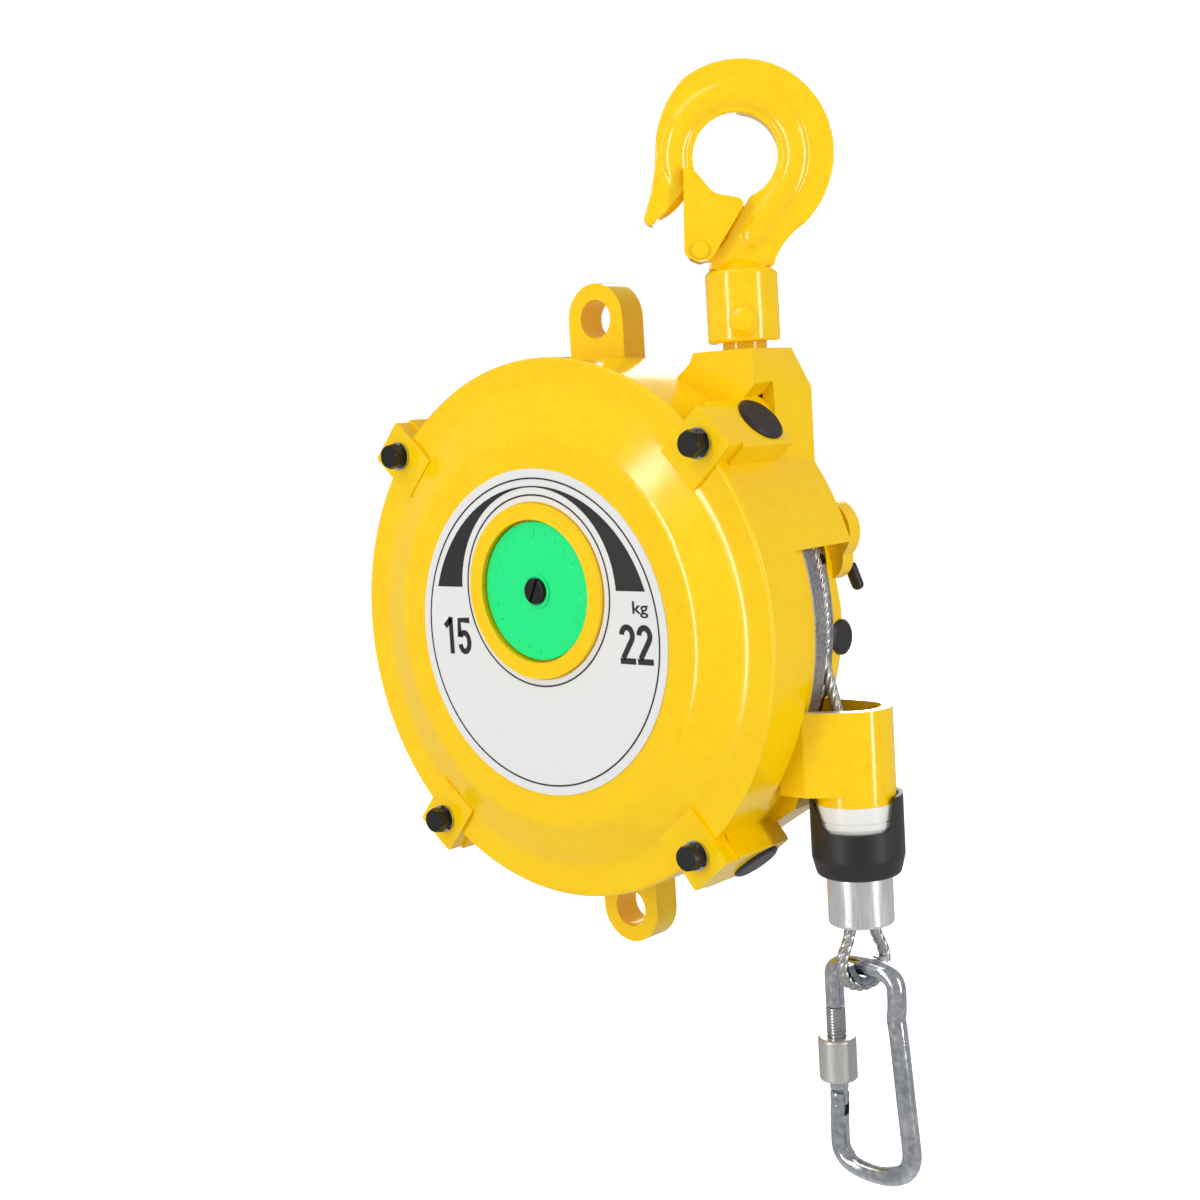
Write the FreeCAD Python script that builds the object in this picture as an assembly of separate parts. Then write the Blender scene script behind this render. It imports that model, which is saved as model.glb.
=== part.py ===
import FreeCAD, Part
import math
import os
from FreeCAD import Vector

# Spring balancer, millimetres. The part frame has its origin at the bearing point of the top
# hook, +Z up and the dial facing -Y. The drum frame used by the case pieces has the same axes
# with its origin on the drum axis, in the plane of the hook and the cable.

# ---------------------------------------------------------------- layout
COVER_R = 116.0           # front cover and full diameter of the case
DRUM_X = -75.0            # drum axis from the hook axis
CABLE_OFFSET = COVER_R + 3.0
FACE_Y = -47.0            # front plane of the cover flange
REAR_Y = 41.0             # rear plane of the case
DIAL_RISE = 18.0          # dial spindle above the drum axis
RUN_GAP = 0.3             # gap between pieces that turn or slide past each other
FIT_GAP = 0.05            # radial running fit of a shaft

# ---------------------------------------------------------------- front cover
FLANGE_T = 6.0
FLANGE_BAND = 13.0        # flat band inside the rim
DOME_RISE = 8.0
DOME_SHOULDER_R = COVER_R - 32.5
COVER_WALL = 4.0
SPIGOT_H = 28.0
SPIGOT_WALL = 4.0

# ---------------------------------------------------------------- dial
LABEL_R = DOME_SHOULDER_R - 13.6
LABEL_HOLE_R = 38.0
LABEL_T = 0.6
RING_R = 37.5
RING_INNER_R = 30.5
RING_RISE = 2.6
DISC_R = 29.7
DISC_T = 2.5
DISC_RECESS = 2.2
DISC_BEAD_R = 7.6
SPINDLE_R = 4.0
SCREW_HEAD_R = 5.6
SCREW_HEAD_H = 2.0
SCREW_SLOT_W = 1.6

# ---------------------------------------------------------------- bolts
BOLT_CIRCLE_R = COVER_R - 0.5
UPPER_BOLT_ANGLE = 42.0   # from the horizontal
LOWER_BOLT_ANGLE = -50.6
BLOCK_W = 22.0
BLOCK_OUT = 11.0          # block beyond the bolt centre
BLOCK_IN = 16.0
BLOCK_PROUD = 2.0
CASE_BLOCK_W = 25.0
CASE_BLOCK_DEPTH = 33.5
BOLT_R = 3.0
BOLT_LENGTH = 24.0
BOLT_CLEAR = 0.3
BOLT_HEAD_AF = 10.0
BOLT_HEAD_H = 4.2
SPRING_WASHER_R = 5.1
SPRING_WASHER_T = 1.6
WASHER_R = 6.3
WASHER_T = 1.3

# ---------------------------------------------------------------- main case
CASE_WALL = 4.0
CASE_SHOULDER_Y = -1.0    # end of the full diameter
CASE_NECK_Y = 10.0
CASE_REAR_R = COVER_R - 28.0
REAR_WALL = 5.0
REAR_WALL_Y = 18.0        # inner face of the rear wall at the drum
REAR_CORNER_R = 12.0
REAR_CHAMBER_R = CASE_REAR_R - 6.0
REAR_HUB_R = 15.0
LUG_R = 15.5
LUG_HOLE_R = 8.5
LUG_T = 14.0
LUG_CENTRE_R = COVER_R + 16.0
WINDOW_HALF_H = 32.5
WINDOW_FRONT_Y = -23.0
WINDOW_FLAT_X = COVER_R - 18.0

# ---------------------------------------------------------------- bracket, hood and tower
BRACKET_TOP = COVER_R - 2.5
BRACKET_HALF_W = 15.5
BRACKET_SPLAY = 5.0       # how much further out its side is at the back
BRACKET_SLOPE_H = 16.5
BRACKET_HALF_Y = 16.5
BRACKET_PLATE_T = 9.0
BRACKET_POCKET_R = 12.6
TOWER_TOP = -33.0
TOWER_BOTTOM = -72.0
TOWER_R = 16.5
TOWER_LIFT = 4.5          # its straight sides end above the buffer's cheeks
TOWER_WALL = 4.5
TOWER_FLOOR = 20.0
TOWER_FOOT_X = WINDOW_FLAT_X
TOWER_FRONT_X = COVER_R - 6.0
GUSSET_START = (62.0, -98.0)
GUSSET_HALF_Y = 11.0

# ---------------------------------------------------------------- drum
RIM_GAP = 1.5             # rim to the bore of the case
RIM_DEPTH = 12.7          # rim to the rope's first pitch radius
RIM_R = COVER_R - CASE_WALL - RIM_GAP
RIM_FRONT_Y = -11.0
RIM_T = 8.5
ROPE_R = 2.5
ROPE_PITCH = 5.2
ROPE_TURNS = 3
ROPE_FIRST_Y = 1.2
ROPE_FIRST_R = RIM_R - RIM_DEPTH
ROPE_CONE_STEP = 1.0
ROPE_ROOM = 0.2           # outermost rope to the neck of the case
GROOVE_DEPTH = 1.6
DRUM_FRONT_Y = -22.5
DRUM_WALL = 5.0
DRUM_WEB_T = 4.0
DRUM_REAR_Y = 17.6
LOCK_FLANGE_T = 3.0
CASE_NECK_R = ROPE_FIRST_R + ROPE_CONE_STEP * (ROPE_TURNS - 1) + ROPE_R + ROPE_ROOM + CASE_WALL
LOCK_FLANGE_R = CASE_NECK_R - CASE_WALL - 2.0
HUB_R = 24.0
LID_T = 2.2
SPRING_STRIP_T = 1.2
SPRING_COILS = 9
SPRING_INNER_R = 24.5
SPRING_OUTER_R = ROPE_FIRST_R - ROPE_R - DRUM_WALL - 6.3
SPRING_SIDE_GAP = 1.5
LOCK_NOTCHES = 12
LOCK_PIN_R = 3.0
LOCK_NOTCH_GAP = 0.6

# ---------------------------------------------------------------- shafts and gears
SHAFT_R = 10.0
JOURNAL_R = 6.0
BUSH_WALL = 2.0
WHEEL_TEETH = 48
WHEEL_MODULE = 1.25
WHEEL_FRONT_Y = -38.5
WHEEL_W = 10.0
WORM_PITCH_R = 7.0
WORM_LENGTH = 32.0
WORM_SHAFT_R = 4.6
WORM_HEX_AF = 8.0
WORM_BUSH_L = 10.0
PINION_TEETH = 12
DIAL_GEAR_TEETH = 24
DIAL_MODULE = 1.0
DIAL_GEAR_FRONT_Y = -43.6
DIAL_GEAR_W = 4.0

# ---------------------------------------------------------------- hook
HOOK_YAW = 35.0           # turn of the hook about +Z at rest
BOWL_R = 17.2
HOOK_BACK_R = 38.5
HOOK_HALF_T = 5.2
BEAD_R = 7.5
BEAD_TIP_R = 2.8
BEAD_TIP = (-34.6, -38.4)
BEAD_ANGLES = (-38.0, 186.0)
BEAD_NECK_L = 22.0
NECK_HALF_W = 13.5
COLLAR_R = 15.1
COLLAR_TOP = -62.7
COLLAR_BOTTOM = -92.5
DRUM_Z = COLLAR_BOTTOM - 3.0 - BRACKET_TOP
SHANK_R = 10.5
STUD_R = 9.2
STUD_THREAD_R = 7.0
RIVET_Z = -84.5
RIVET_R = 4.0
RIVET_HEAD_R = 5.8
LATCH_PIVOT = (-16.0, -54.3)
LATCH_LUG_R = 4.5
LATCH_PIN_R = 2.4
LATCH_SHEET_T = 1.6
LATCH_INNER_HALF = 7.9
LATCH_CHEEK_TOP = ((19.2, 17.7, 2), (16.5, 19.9, 2), (6.5, 22.3, 8), (-0.5, 31.8, 1))
LATCH_H = 33.8
LATCH_WEB_TOP = -33.5

# ---------------------------------------------------------------- cable end
GUIDE_R = 17.0
GUIDE_FLANGE_T = 13.0
GUIDE_SPIGOT_R = 10.0
GUIDE_BORE_R = 3.4
BUFFER_WALL = 1.8
BUFFER_FLOOR_TOP = -86.0
BUFFER_BOTTOM = -102.2
BUFFER_EAR_TOP = -69.0
BUFFER_EAR_HALF_W = 13.0
BUFFER_YAW = 33.0
CLAMP_R = 13.5
CLAMP_BOTTOM = -123.0
EYE_YAW = 70.0
EYE_R = 10.5
EYE_NECK = 4.2
THIMBLE_T = 1.2
ROPE_LEAD_END_Z = -57.0

# ---------------------------------------------------------------- snap hook
SNAP_R = 4.0
SNAP_TOP = -141.6         # centre line of the top bar, drum frame
SNAP_LENGTH = 89.2        # between centre lines
SNAP_LEFT = -15.0
SNAP_RIGHT_TOP = 15.0
SNAP_RIGHT = 19.5
GATE_NOSE_Z = -161.0
GATE_PIVOT_Z = -202.0
GATE_GAP = 0.4
GATE_BAR_LIFT = 5.4       # bar above its hinge, so that it swings clear of the fork
GATE_TONGUE_T = 3.0
GATE_PIN_R = 1.6
SLEEVE_R = 8.0
SLEEVE_LENGTH = 18.4
SLEEVE_TOP_Z = -174.4

# ---------------------------------------------------------------- plugs and lock
PLUG_R = 10.5
PLUG_HEAD_H = 1.6
SIDE_PLUG_Y = -18.5
SPOT_FACE_HALF = 13.0
REAR_PLUG_R = 7.6
REAR_PLUG_Y = 26.0
REAR_PLUG_Z = -9.0
LOCK_X = LOCK_FLANGE_R - 6.0
LOCK_Z = 24.5
LOCK_EAR_R = 14.0
LOCK_EAR_Z = 36.0
LOCK_EAR_T = 8.0
LOCK_TRAVEL = 3.4
LOCK_HANDLE_GAP = 5.0     # handle to the ear when the pin is pushed in
LOCK_HANDLE_TILT = -22.0
LOCK_GRIP_R = 2.6
LOCK_GRIP_LENGTH = 12.0

X_AXIS = Vector(1, 0, 0)
Y_AXIS = Vector(0, 1, 0)
Z_AXIS = Vector(0, 0, 1)
ORIGIN = Vector(0, 0, 0)


# ---------------------------------------------------------------- helpers
def corner_wire(points, place):
    """Closed wire through (u, v) or (u, v, radius) corners; place maps (u, v) to a Vector."""
    return Part.Wire(rounded_edges(points, place, closed=True))


def rounded_edges(points, place, closed):
    """Line and arc edges of a path whose corners are rounded by their third value."""
    count = len(points)
    spans = []
    for i, point in enumerate(points):
        here = Vector(point[0], point[1], 0)
        radius = point[2] if len(point) > 2 else 0
        if radius and (closed or 0 < i < count - 1):
            before = Vector(points[i - 1][0], points[i - 1][1], 0) - here
            after_point = points[(i + 1) % count]
            after = Vector(after_point[0], after_point[1], 0) - here
            before.normalize()
            after.normalize()
            half = before.getAngle(after) / 2
            reach = radius / math.tan(half)
            middle = before + after
            middle.normalize()
            centre = here + middle * (radius / math.sin(half))
            spans.append((here + before * reach, centre - middle * radius, here + after * reach))
        else:
            spans.append((here, None, here))
    edges = []
    for i, (start, top, end) in enumerate(spans):
        if top is not None:
            edges.append(Part.Arc(*[place(p.x, p.y) for p in (start, top, end)]).toShape())
        if i + 1 < count or closed:
            following = spans[(i + 1) % count][0]
            if (following - end).Length > 1e-6:
                edges.append(Part.LineSegment(place(end.x, end.y), place(following.x, following.y)).toShape())
    return edges


def turned(points, axis=Y_AXIS):
    """Solid of revolution; points are (radius, height along the axis, corner radius)."""
    if axis == Y_AXIS:
        wire = corner_wire(points, lambda r, y: Vector(r, y, 0))
    else:
        wire = corner_wire(points, lambda r, z: Vector(r, 0, z))
    return Part.Face(wire).revolve(ORIGIN, axis, 360)


def plate(points, y0, y1):
    """Outline in X and Z, extruded from y0 to y1."""
    face = Part.Face(corner_wire(points, lambda x, z: Vector(x, y0, z)))
    return face.extrude(Vector(0, y1 - y0, 0))


def column(points, z0, z1):
    """Outline in X and Y, extruded from z0 to z1."""
    face = Part.Face(corner_wire(points, lambda x, y: Vector(x, y, z0)))
    return face.extrude(Vector(0, 0, z1 - z0))


def rod(radius, start, end):
    """Cylinder between two points."""
    span = end - start
    return Part.makeCylinder(radius, span.Length, start, span)


def rod_y(radius, x, z, y0, y1):
    """Cylinder along Y."""
    return rod(radius, Vector(x, y0, z), Vector(x, y1, z))


def box(x0, x1, y0, y1, z0, z1):
    """Box between two corners."""
    return Part.makeBox(x1 - x0, y1 - y0, z1 - z0, Vector(x0, y0, z0))


def hexagon(across_flats, y0, y1):
    """Hexagonal prism along Y."""
    corner = across_flats / 2 / math.cos(math.pi / 6)
    points = [polar(corner, 60 * i) for i in range(6)]
    return plate(points, y0, y1)


def polar(radius, degrees):
    """(u, v) at an angle from the horizontal."""
    return radius * math.cos(math.radians(degrees)), radius * math.sin(math.radians(degrees))


def tube(path_edges, radius):
    """Round bar swept along tangent edges."""
    path = Part.Wire(path_edges)
    start = path.OrderedVertexes[0].Point
    first = path.OrderedEdges[0]
    at = first.FirstParameter if (first.valueAt(first.FirstParameter) - start).Length < 1e-6 else first.LastParameter
    circle = Part.Wire(Part.Circle(start, first.tangentAt(at), radius).toShape())
    return path.makePipeShell([circle], True, False)


def turn(shape, degrees, axis=Z_AXIS, centre=ORIGIN):
    """Copy of a shape turned about an axis."""
    copy = shape.copy()
    copy.rotate(centre, axis, degrees)
    return copy


def moved(shape, x, y, z):
    """Copy of a shape shifted by a vector."""
    copy = shape.copy()
    copy.translate(Vector(x, y, z))
    return copy


def joined(*shapes):
    """One clean solid out of several."""
    body = shapes[0]
    for shape in shapes[1:]:
        body = body.fuse(shape)
    return body.removeSplitter()


def from_drum(shape):
    """Drum frame to part frame."""
    return moved(shape, DRUM_X, 0, DRUM_Z)


def from_cable(shape):
    """Frame on the cable axis, with the drum frame's Z, to part frame."""
    return moved(shape, DRUM_X + CABLE_OFFSET, 0, DRUM_Z)


def from_hook(shape):
    """Hook's own plane to part frame."""
    return turn(shape, HOOK_YAW)


# ---------------------------------------------------------------- gears
def involute(angle):
    """Involute function."""
    return math.tan(angle) - angle


def gear_wire(teeth, module, backlash, y, spin):
    """Outline of a spur gear round the Y axis; spin turns it, the first tooth pointing along +Z."""
    pitch_r = teeth * module / 2
    base_r = pitch_r * math.cos(math.radians(20))
    tip_r = pitch_r + 0.8 * module
    root_r = pitch_r - 1.15 * module
    half = math.pi / (2 * teeth) - backlash / (2 * pitch_r)

    def half_angle(radius):
        pressure = math.acos(min(1.0, base_r / radius))
        return half + involute(math.radians(20)) - involute(pressure)

    radii = [max(base_r, root_r + 0.1), pitch_r, (pitch_r + tip_r) / 2, tip_r]
    flank = [(root_r, half_angle(radii[0]))] + [(r, half_angle(r)) for r in radii]
    points = []
    for i in range(teeth):
        middle = 2 * math.pi * i / teeth + math.radians(spin)
        for radius, offset in flank:
            points.append((radius * math.sin(middle - offset), radius * math.cos(middle - offset)))
        for radius, offset in reversed(flank):
            points.append((radius * math.sin(middle + offset), radius * math.cos(middle + offset)))
    return corner_wire(points, lambda x, z: Vector(x, y, z))


def spur_gear(teeth, module, backlash, y0, width, spin=0.0):
    """Straight gear round the Y axis."""
    return Part.Face(gear_wire(teeth, module, backlash, y0, spin)).extrude(Vector(0, width, 0))


def worm_lead_angle():
    """Lead angle of the single-start worm, in radians."""
    return math.atan(WHEEL_MODULE / (2 * WORM_PITCH_R))


def worm_wheel():
    """Worm wheel on the main shaft: helical teeth at the worm's lead angle."""
    pitch_r = WHEEL_TEETH * WHEEL_MODULE / 2
    twist = math.degrees(WHEEL_W * math.tan(worm_lead_angle()) / pitch_r)
    front = gear_wire(WHEEL_TEETH, WHEEL_MODULE, 0.5, WHEEL_FRONT_Y, -twist / 2)
    rear = gear_wire(WHEEL_TEETH, WHEEL_MODULE, 0.5, WHEEL_FRONT_Y + WHEEL_W, twist / 2)
    wheel = Part.makeLoft([front, rear], True, True)
    bore = rod_y(SHAFT_R, 0, 0, WHEEL_FRONT_Y - 1, WHEEL_FRONT_Y + WHEEL_W + 1)
    return wheel.cut(bore)


def worm_z():
    """Height of the worm's axis in the drum frame."""
    return -(WHEEL_TEETH * WHEEL_MODULE / 2 + WORM_PITCH_R)


def worm_y():
    """Depth of the worm's axis."""
    return WHEEL_FRONT_Y + WHEEL_W / 2


def worm():
    """Adjusting worm along X: helical thread, journals and a hexagon outside the case."""
    pitch = math.pi * WHEEL_MODULE
    root_r = WORM_PITCH_R - 1.15 * WHEEL_MODULE
    tip_r = WORM_PITCH_R + 0.8 * WHEEL_MODULE
    turns = 7
    length = pitch * turns
    helix = Part.makeHelix(pitch, length, root_r)
    tip_half = 0.22 * pitch - (tip_r - WORM_PITCH_R) * math.tan(math.radians(20))
    root_half = 0.22 * pitch + (WORM_PITCH_R - root_r) * math.tan(math.radians(20))
    inside = root_r - 0.3
    corners = [(inside, -root_half), (tip_r, -tip_half), (tip_r, tip_half), (inside, root_half)]
    profile = corner_wire(corners, lambda r, z: Vector(r, 0, z))
    thread = Part.Wire(helix).makePipeShell([profile], True, True)
    body = Part.makeCylinder(root_r, WORM_LENGTH, Vector(0, 0, (length - WORM_LENGTH) / 2))
    body = body.fuse(thread)
    body = moved(body, 0, 0, -length / 2)
    body = turn(body, 90, Y_AXIS)
    return turn(body, 180, X_AXIS)


def worm_shaft_solid():
    """The worm with its journals and its drive hexagon, in place in the drum frame."""
    thread = worm()
    inner_end = worm_inner_x() + 8
    outer_x = -case_half_width_at(worm_z()) - 1
    journal = rod(WORM_SHAFT_R, Vector(outer_x, 0, 0), Vector(inner_end, 0, 0))
    drive = turn(hexagon(WORM_HEX_AF, 0, 9.0), 90)
    drive = moved(drive, outer_x, 0, 0)
    return moved(joined(thread, journal, drive), 0, worm_y(), worm_z())


def worm_inner_x():
    """Inner face of the block that holds the worm's far journal."""
    return WORM_LENGTH / 2 + 2


def case_half_width_at(z):
    """Half width of the case's full-diameter barrel at a height."""
    return math.sqrt(COVER_R ** 2 - z ** 2)


# ---------------------------------------------------------------- front cover
def bolt_angles():
    """Angles of the four bolts about the drum axis."""
    return [UPPER_BOLT_ANGLE, 180 - UPPER_BOLT_ANGLE, 180 - LOWER_BOLT_ANGLE, LOWER_BOLT_ANGLE]


def bolt_block(y0, y1, width):
    """Square bolt block on the +X side, before it is turned to its angle."""
    inner = BOLT_CIRCLE_R - BLOCK_IN
    outer = BOLT_CIRCLE_R + BLOCK_OUT
    half = width / 2
    return plate([(inner, -half), (outer, -half, 1.5), (outer, half, 1.5), (inner, half)], y0, y1)


def at_bolts(shape):
    """Copies of a shape made on the +X side, one at each bolt."""
    return [turn(shape, -angle, Y_AXIS) for angle in bolt_angles()]


def front_cover():
    """Domed front cover with its bolt blocks, spigot, dial ring and inner bosses."""
    dome_y = FACE_Y - DOME_RISE
    band_r = COVER_R - FLANGE_BAND
    back_y = FACE_Y + FLANGE_T
    bore_r = COVER_R - CASE_WALL - RUN_GAP
    shell = turned([
        (0, dome_y), (DOME_SHOULDER_R, dome_y, 9), (band_r, FACE_Y, 14), (COVER_R, FACE_Y, 1.2),
        (COVER_R, back_y), (bore_r, back_y), (bore_r, back_y + SPIGOT_H),
        (bore_r - SPIGOT_WALL, back_y + SPIGOT_H), (bore_r - SPIGOT_WALL, FACE_Y + COVER_WALL),
        (band_r - 2, FACE_Y + COVER_WALL, 12), (DOME_SHOULDER_R - 2, dome_y + COVER_WALL, 8),
        (0, dome_y + COVER_WALL)])
    blocks = at_bolts(bolt_block(FACE_Y - BLOCK_PROUD, back_y, BLOCK_W))
    inside = rod_y(bore_r - SPIGOT_WALL, 0, 0, FACE_Y + COVER_WALL, back_y + SPIGOT_H + 1)
    blocks = [block.cut(inside) for block in blocks]
    hub_back = DIAL_GEAR_FRONT_Y - 0.6
    dial_boss = rod_y(RING_R, 0, DIAL_RISE, dome_y - RING_RISE, dome_y + COVER_WALL + 1.6)
    spindle_hub = rod_y(SPINDLE_R + 4, 0, DIAL_RISE, dome_y, hub_back)
    shaft_hub = rod_y(JOURNAL_R + BUSH_WALL + 4, 0, 0, dome_y + COVER_WALL - 1, hub_back)
    block_x = worm_inner_x()
    worm_block = box(block_x, block_x + 9, dome_y + COVER_WALL - 1, worm_y() + WORM_PITCH_R,
                     worm_z() - 9, worm_z() + 9)
    body = joined(shell, dial_boss, spindle_hub, shaft_hub, worm_block, *blocks)
    recess = rod_y(RING_INNER_R, 0, DIAL_RISE, dome_y - RING_RISE - 1, dome_y + DISC_RECESS)
    spindle_bore = rod_y(SPINDLE_R + FIT_GAP, 0, DIAL_RISE, dome_y - 5, hub_back + 1)
    bush_seat = rod_y(JOURNAL_R + BUSH_WALL, 0, 0, dome_y + COVER_WALL, hub_back + 1)
    worm_bore = rod(WORM_SHAFT_R + BUSH_WALL, Vector(block_x - 1, worm_y(), worm_z()),
                    Vector(block_x + 10, worm_y(), worm_z()))
    holes = at_bolts(rod_y(BOLT_R + BOLT_CLEAR, BOLT_CIRCLE_R, 0, FACE_Y - 5, back_y + 1))
    notch_end = -case_half_width_at(worm_z()) + WORM_BUSH_L + 2
    notch = rod(WORM_SHAFT_R + BUSH_WALL + 0.5, Vector(-COVER_R, worm_y(), worm_z()),
                Vector(notch_end, worm_y(), worm_z()))
    for tool in [recess, spindle_bore, bush_seat, worm_bore, notch] + holes:
        body = body.cut(tool)
    return body


def label_plate():
    """Printed plate on the dome, with its off-centre hole."""
    y1 = FACE_Y - DOME_RISE
    plate_solid = rod_y(LABEL_R, 0, 0, y1 - LABEL_T, y1)
    return plate_solid.cut(rod_y(LABEL_HOLE_R, 0, DIAL_RISE, y1 - 2, y1 + 1))


# ---------------------------------------------------------------- dial
def dial_disc_front():
    """Front face of the indicator disc."""
    return FACE_Y - DOME_RISE + DISC_RECESS - RUN_GAP - DISC_T


def indicator_disc():
    """Green disc with a small bead round its screw."""
    y0 = dial_disc_front()
    disc = turned([(0, y0), (DISC_BEAD_R - 1.4, y0), (DISC_BEAD_R - 1.4, y0 - 0.5), (DISC_BEAD_R, y0 - 0.5),
                   (DISC_BEAD_R, y0), (DISC_R, y0, 0.8), (DISC_R, y0 + DISC_T), (0, y0 + DISC_T)])
    return moved(disc.cut(rod_y(SPINDLE_R - 1.5, 0, 0, y0 - 2, y0 + DISC_T + 1)), 0, 0, DIAL_RISE)


def disc_screw():
    """Slotted screw that clamps the disc on its spindle."""
    y0 = dial_disc_front()
    head = turned([(0, y0 - SCREW_HEAD_H), (SCREW_HEAD_R, y0 - SCREW_HEAD_H, 0.8), (SCREW_HEAD_R, y0),
                   (SPINDLE_R - 1.5, y0), (SPINDLE_R - 1.5, y0 + 8), (0, y0 + 8)])
    slot = box(-SCREW_SLOT_W / 2, SCREW_SLOT_W / 2, y0 - SCREW_HEAD_H - 1, y0 - SCREW_HEAD_H + 1.0,
               -SCREW_HEAD_R - 1, SCREW_HEAD_R + 1)
    return moved(head.cut(turn(slot, 25, Y_AXIS)), 0, 0, DIAL_RISE)


def dial_spindle():
    """Indicator gear in one piece with its spindle."""
    y0 = dial_disc_front() + DISC_T
    gear = spur_gear(DIAL_GEAR_TEETH, DIAL_MODULE, 0.18, DIAL_GEAR_FRONT_Y, DIAL_GEAR_W,
                     180.0 / DIAL_GEAR_TEETH * (1 + DIAL_GEAR_TEETH))
    spindle = rod_y(SPINDLE_R, 0, 0, y0, DIAL_GEAR_FRONT_Y + DIAL_GEAR_W)
    body = joined(gear, spindle).cut(rod_y(SPINDLE_R - 1.5, 0, 0, y0 - 1, y0 + 6))
    return moved(body, 0, 0, DIAL_RISE)


# ---------------------------------------------------------------- bolts
def cover_bolts():
    """Four hexagon bolts."""
    seat = FACE_Y - BLOCK_PROUD - WASHER_T - SPRING_WASHER_T
    head = hexagon(BOLT_HEAD_AF, seat - BOLT_HEAD_H, seat)
    crown = turned([(0, seat - BOLT_HEAD_H - 1), (BOLT_HEAD_AF * 0.46, seat - BOLT_HEAD_H - 1),
                    (BOLT_HEAD_AF * 0.68, seat), (0, seat)])
    head = head.common(crown)
    shank = rod_y(BOLT_R, 0, 0, seat, seat + BOLT_LENGTH)
    return Part.makeCompound(at_bolts(moved(joined(head, shank), BOLT_CIRCLE_R, 0, 0)))


def ring_at_bolts(outer_r, y0, y1):
    """Four washers."""
    ring = rod_y(outer_r, BOLT_CIRCLE_R, 0, y0, y1)
    ring = ring.cut(rod_y(BOLT_R + BOLT_CLEAR, BOLT_CIRCLE_R, 0, y0 - 1, y1 + 1))
    return Part.makeCompound(at_bolts(ring))


# ---------------------------------------------------------------- main case
def safety_lug(side):
    """Pierced lug at the top or the bottom of the case."""
    root = COVER_R - 12
    half = LUG_R
    y0 = -LUG_T / 2
    lug = plate([(-half, root), (half, root), (half, LUG_CENTRE_R + LUG_R, LUG_R - 0.01),
                 (-half, LUG_CENTRE_R + LUG_R, LUG_R - 0.01)], y0, y0 + LUG_T)
    return lug if side > 0 else turn(lug, 180, Y_AXIS)


def case_barrel():
    """Outer form of the pot, a solid of revolution."""
    return turned([
        (0, FACE_Y + FLANGE_T), (COVER_R, FACE_Y + FLANGE_T), (COVER_R, CASE_SHOULDER_Y, 8),
        (CASE_NECK_R, CASE_NECK_Y, 20), (CASE_REAR_R + 8, REAR_Y - 10, 14), (CASE_REAR_R - 8, REAR_Y, REAR_CORNER_R),
        (0, REAR_Y)])


def case_cavity():
    """Room for the drum, open to the front."""
    front = FACE_Y + FLANGE_T - 1
    bore_r = COVER_R - CASE_WALL
    neck_r = CASE_NECK_R - CASE_WALL
    return turned([(0, front), (bore_r, front), (bore_r, CASE_SHOULDER_Y - 1, 4), (neck_r + 1, CASE_NECK_Y - 2, 10),
                   (neck_r + 0.5, REAR_WALL_Y, 3), (0, REAR_WALL_Y)])


def rear_chamber():
    """Hollow behind the drum, round the hub of the rear bearing."""
    back = REAR_Y - REAR_WALL
    return turned([(REAR_HUB_R, REAR_WALL_Y - 1), (REAR_CHAMBER_R, REAR_WALL_Y - 1), (REAR_CHAMBER_R, back - 10, 8),
                   (REAR_CHAMBER_R - 10, back, 6), (REAR_HUB_R, back, 3)])


def bracket():
    """Hook bracket and the pad beside the window, whose outside is the full diameter of the case."""
    axis_x = -DRUM_X
    left = axis_x - BRACKET_HALF_W
    right = axis_x + BRACKET_HALF_W
    foot = WINDOW_HALF_H + 18
    y0, y1 = -BRACKET_HALF_Y, BRACKET_HALF_Y
    web = plate([(20, foot), (20, COVER_R - 3), (48, 101.5, 10), (left - 1, BRACKET_TOP - 4, 6),
                 (left + 0.5, BRACKET_TOP, 2), (axis_x, BRACKET_TOP), (axis_x, foot)], y0, y1)
    ends = []
    for y, top_x, side_x in ((y0, right, right), (y1, right - 4, right + BRACKET_SPLAY)):
        corners = [(axis_x, foot), (side_x, foot), (side_x, BRACKET_TOP - BRACKET_SLOPE_H), (top_x, BRACKET_TOP),
                   (axis_x, BRACKET_TOP)]
        ends.append(corner_wire(corners, lambda x, z: Vector(x, y, z)))
    head = Part.makeLoft(ends, True, True)
    pad = rod_y(COVER_R, 0, 0, FACE_Y + FLANGE_T, y1)
    pad = pad.common(box(85, COVER_R, FACE_Y, y1, WINDOW_HALF_H, 75))
    seat = BOLT_CIRCLE_R + BLOCK_OUT
    room = box(seat, seat + 20, FACE_Y, SIDE_PLUG_Y + SPOT_FACE_HALF, -SPOT_FACE_HALF, SPOT_FACE_HALF)
    return web.fuse(head).cut(turn(room, -UPPER_BOLT_ANGLE, Y_AXIS)).fuse(pad)


def tower_outline(inset):
    """Plan of the cable tower: straight at the case, running into a circle round the cable."""
    radius = TOWER_R - inset
    corner = (TOWER_FRONT_X, WINDOW_FRONT_Y + inset)
    dx, dy = corner[0] - CABLE_OFFSET, corner[1]
    angle = math.degrees(math.atan2(dy, dx) + math.acos(radius / math.hypot(dx, dy)))
    u, v = polar(radius, angle)
    foot = TOWER_FOOT_X - 4 * inset
    return [(foot, corner[1]), corner, (CABLE_OFFSET + u, v), (CABLE_OFFSET, 0), (CABLE_OFFSET, radius),
            (foot, radius)]


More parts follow.
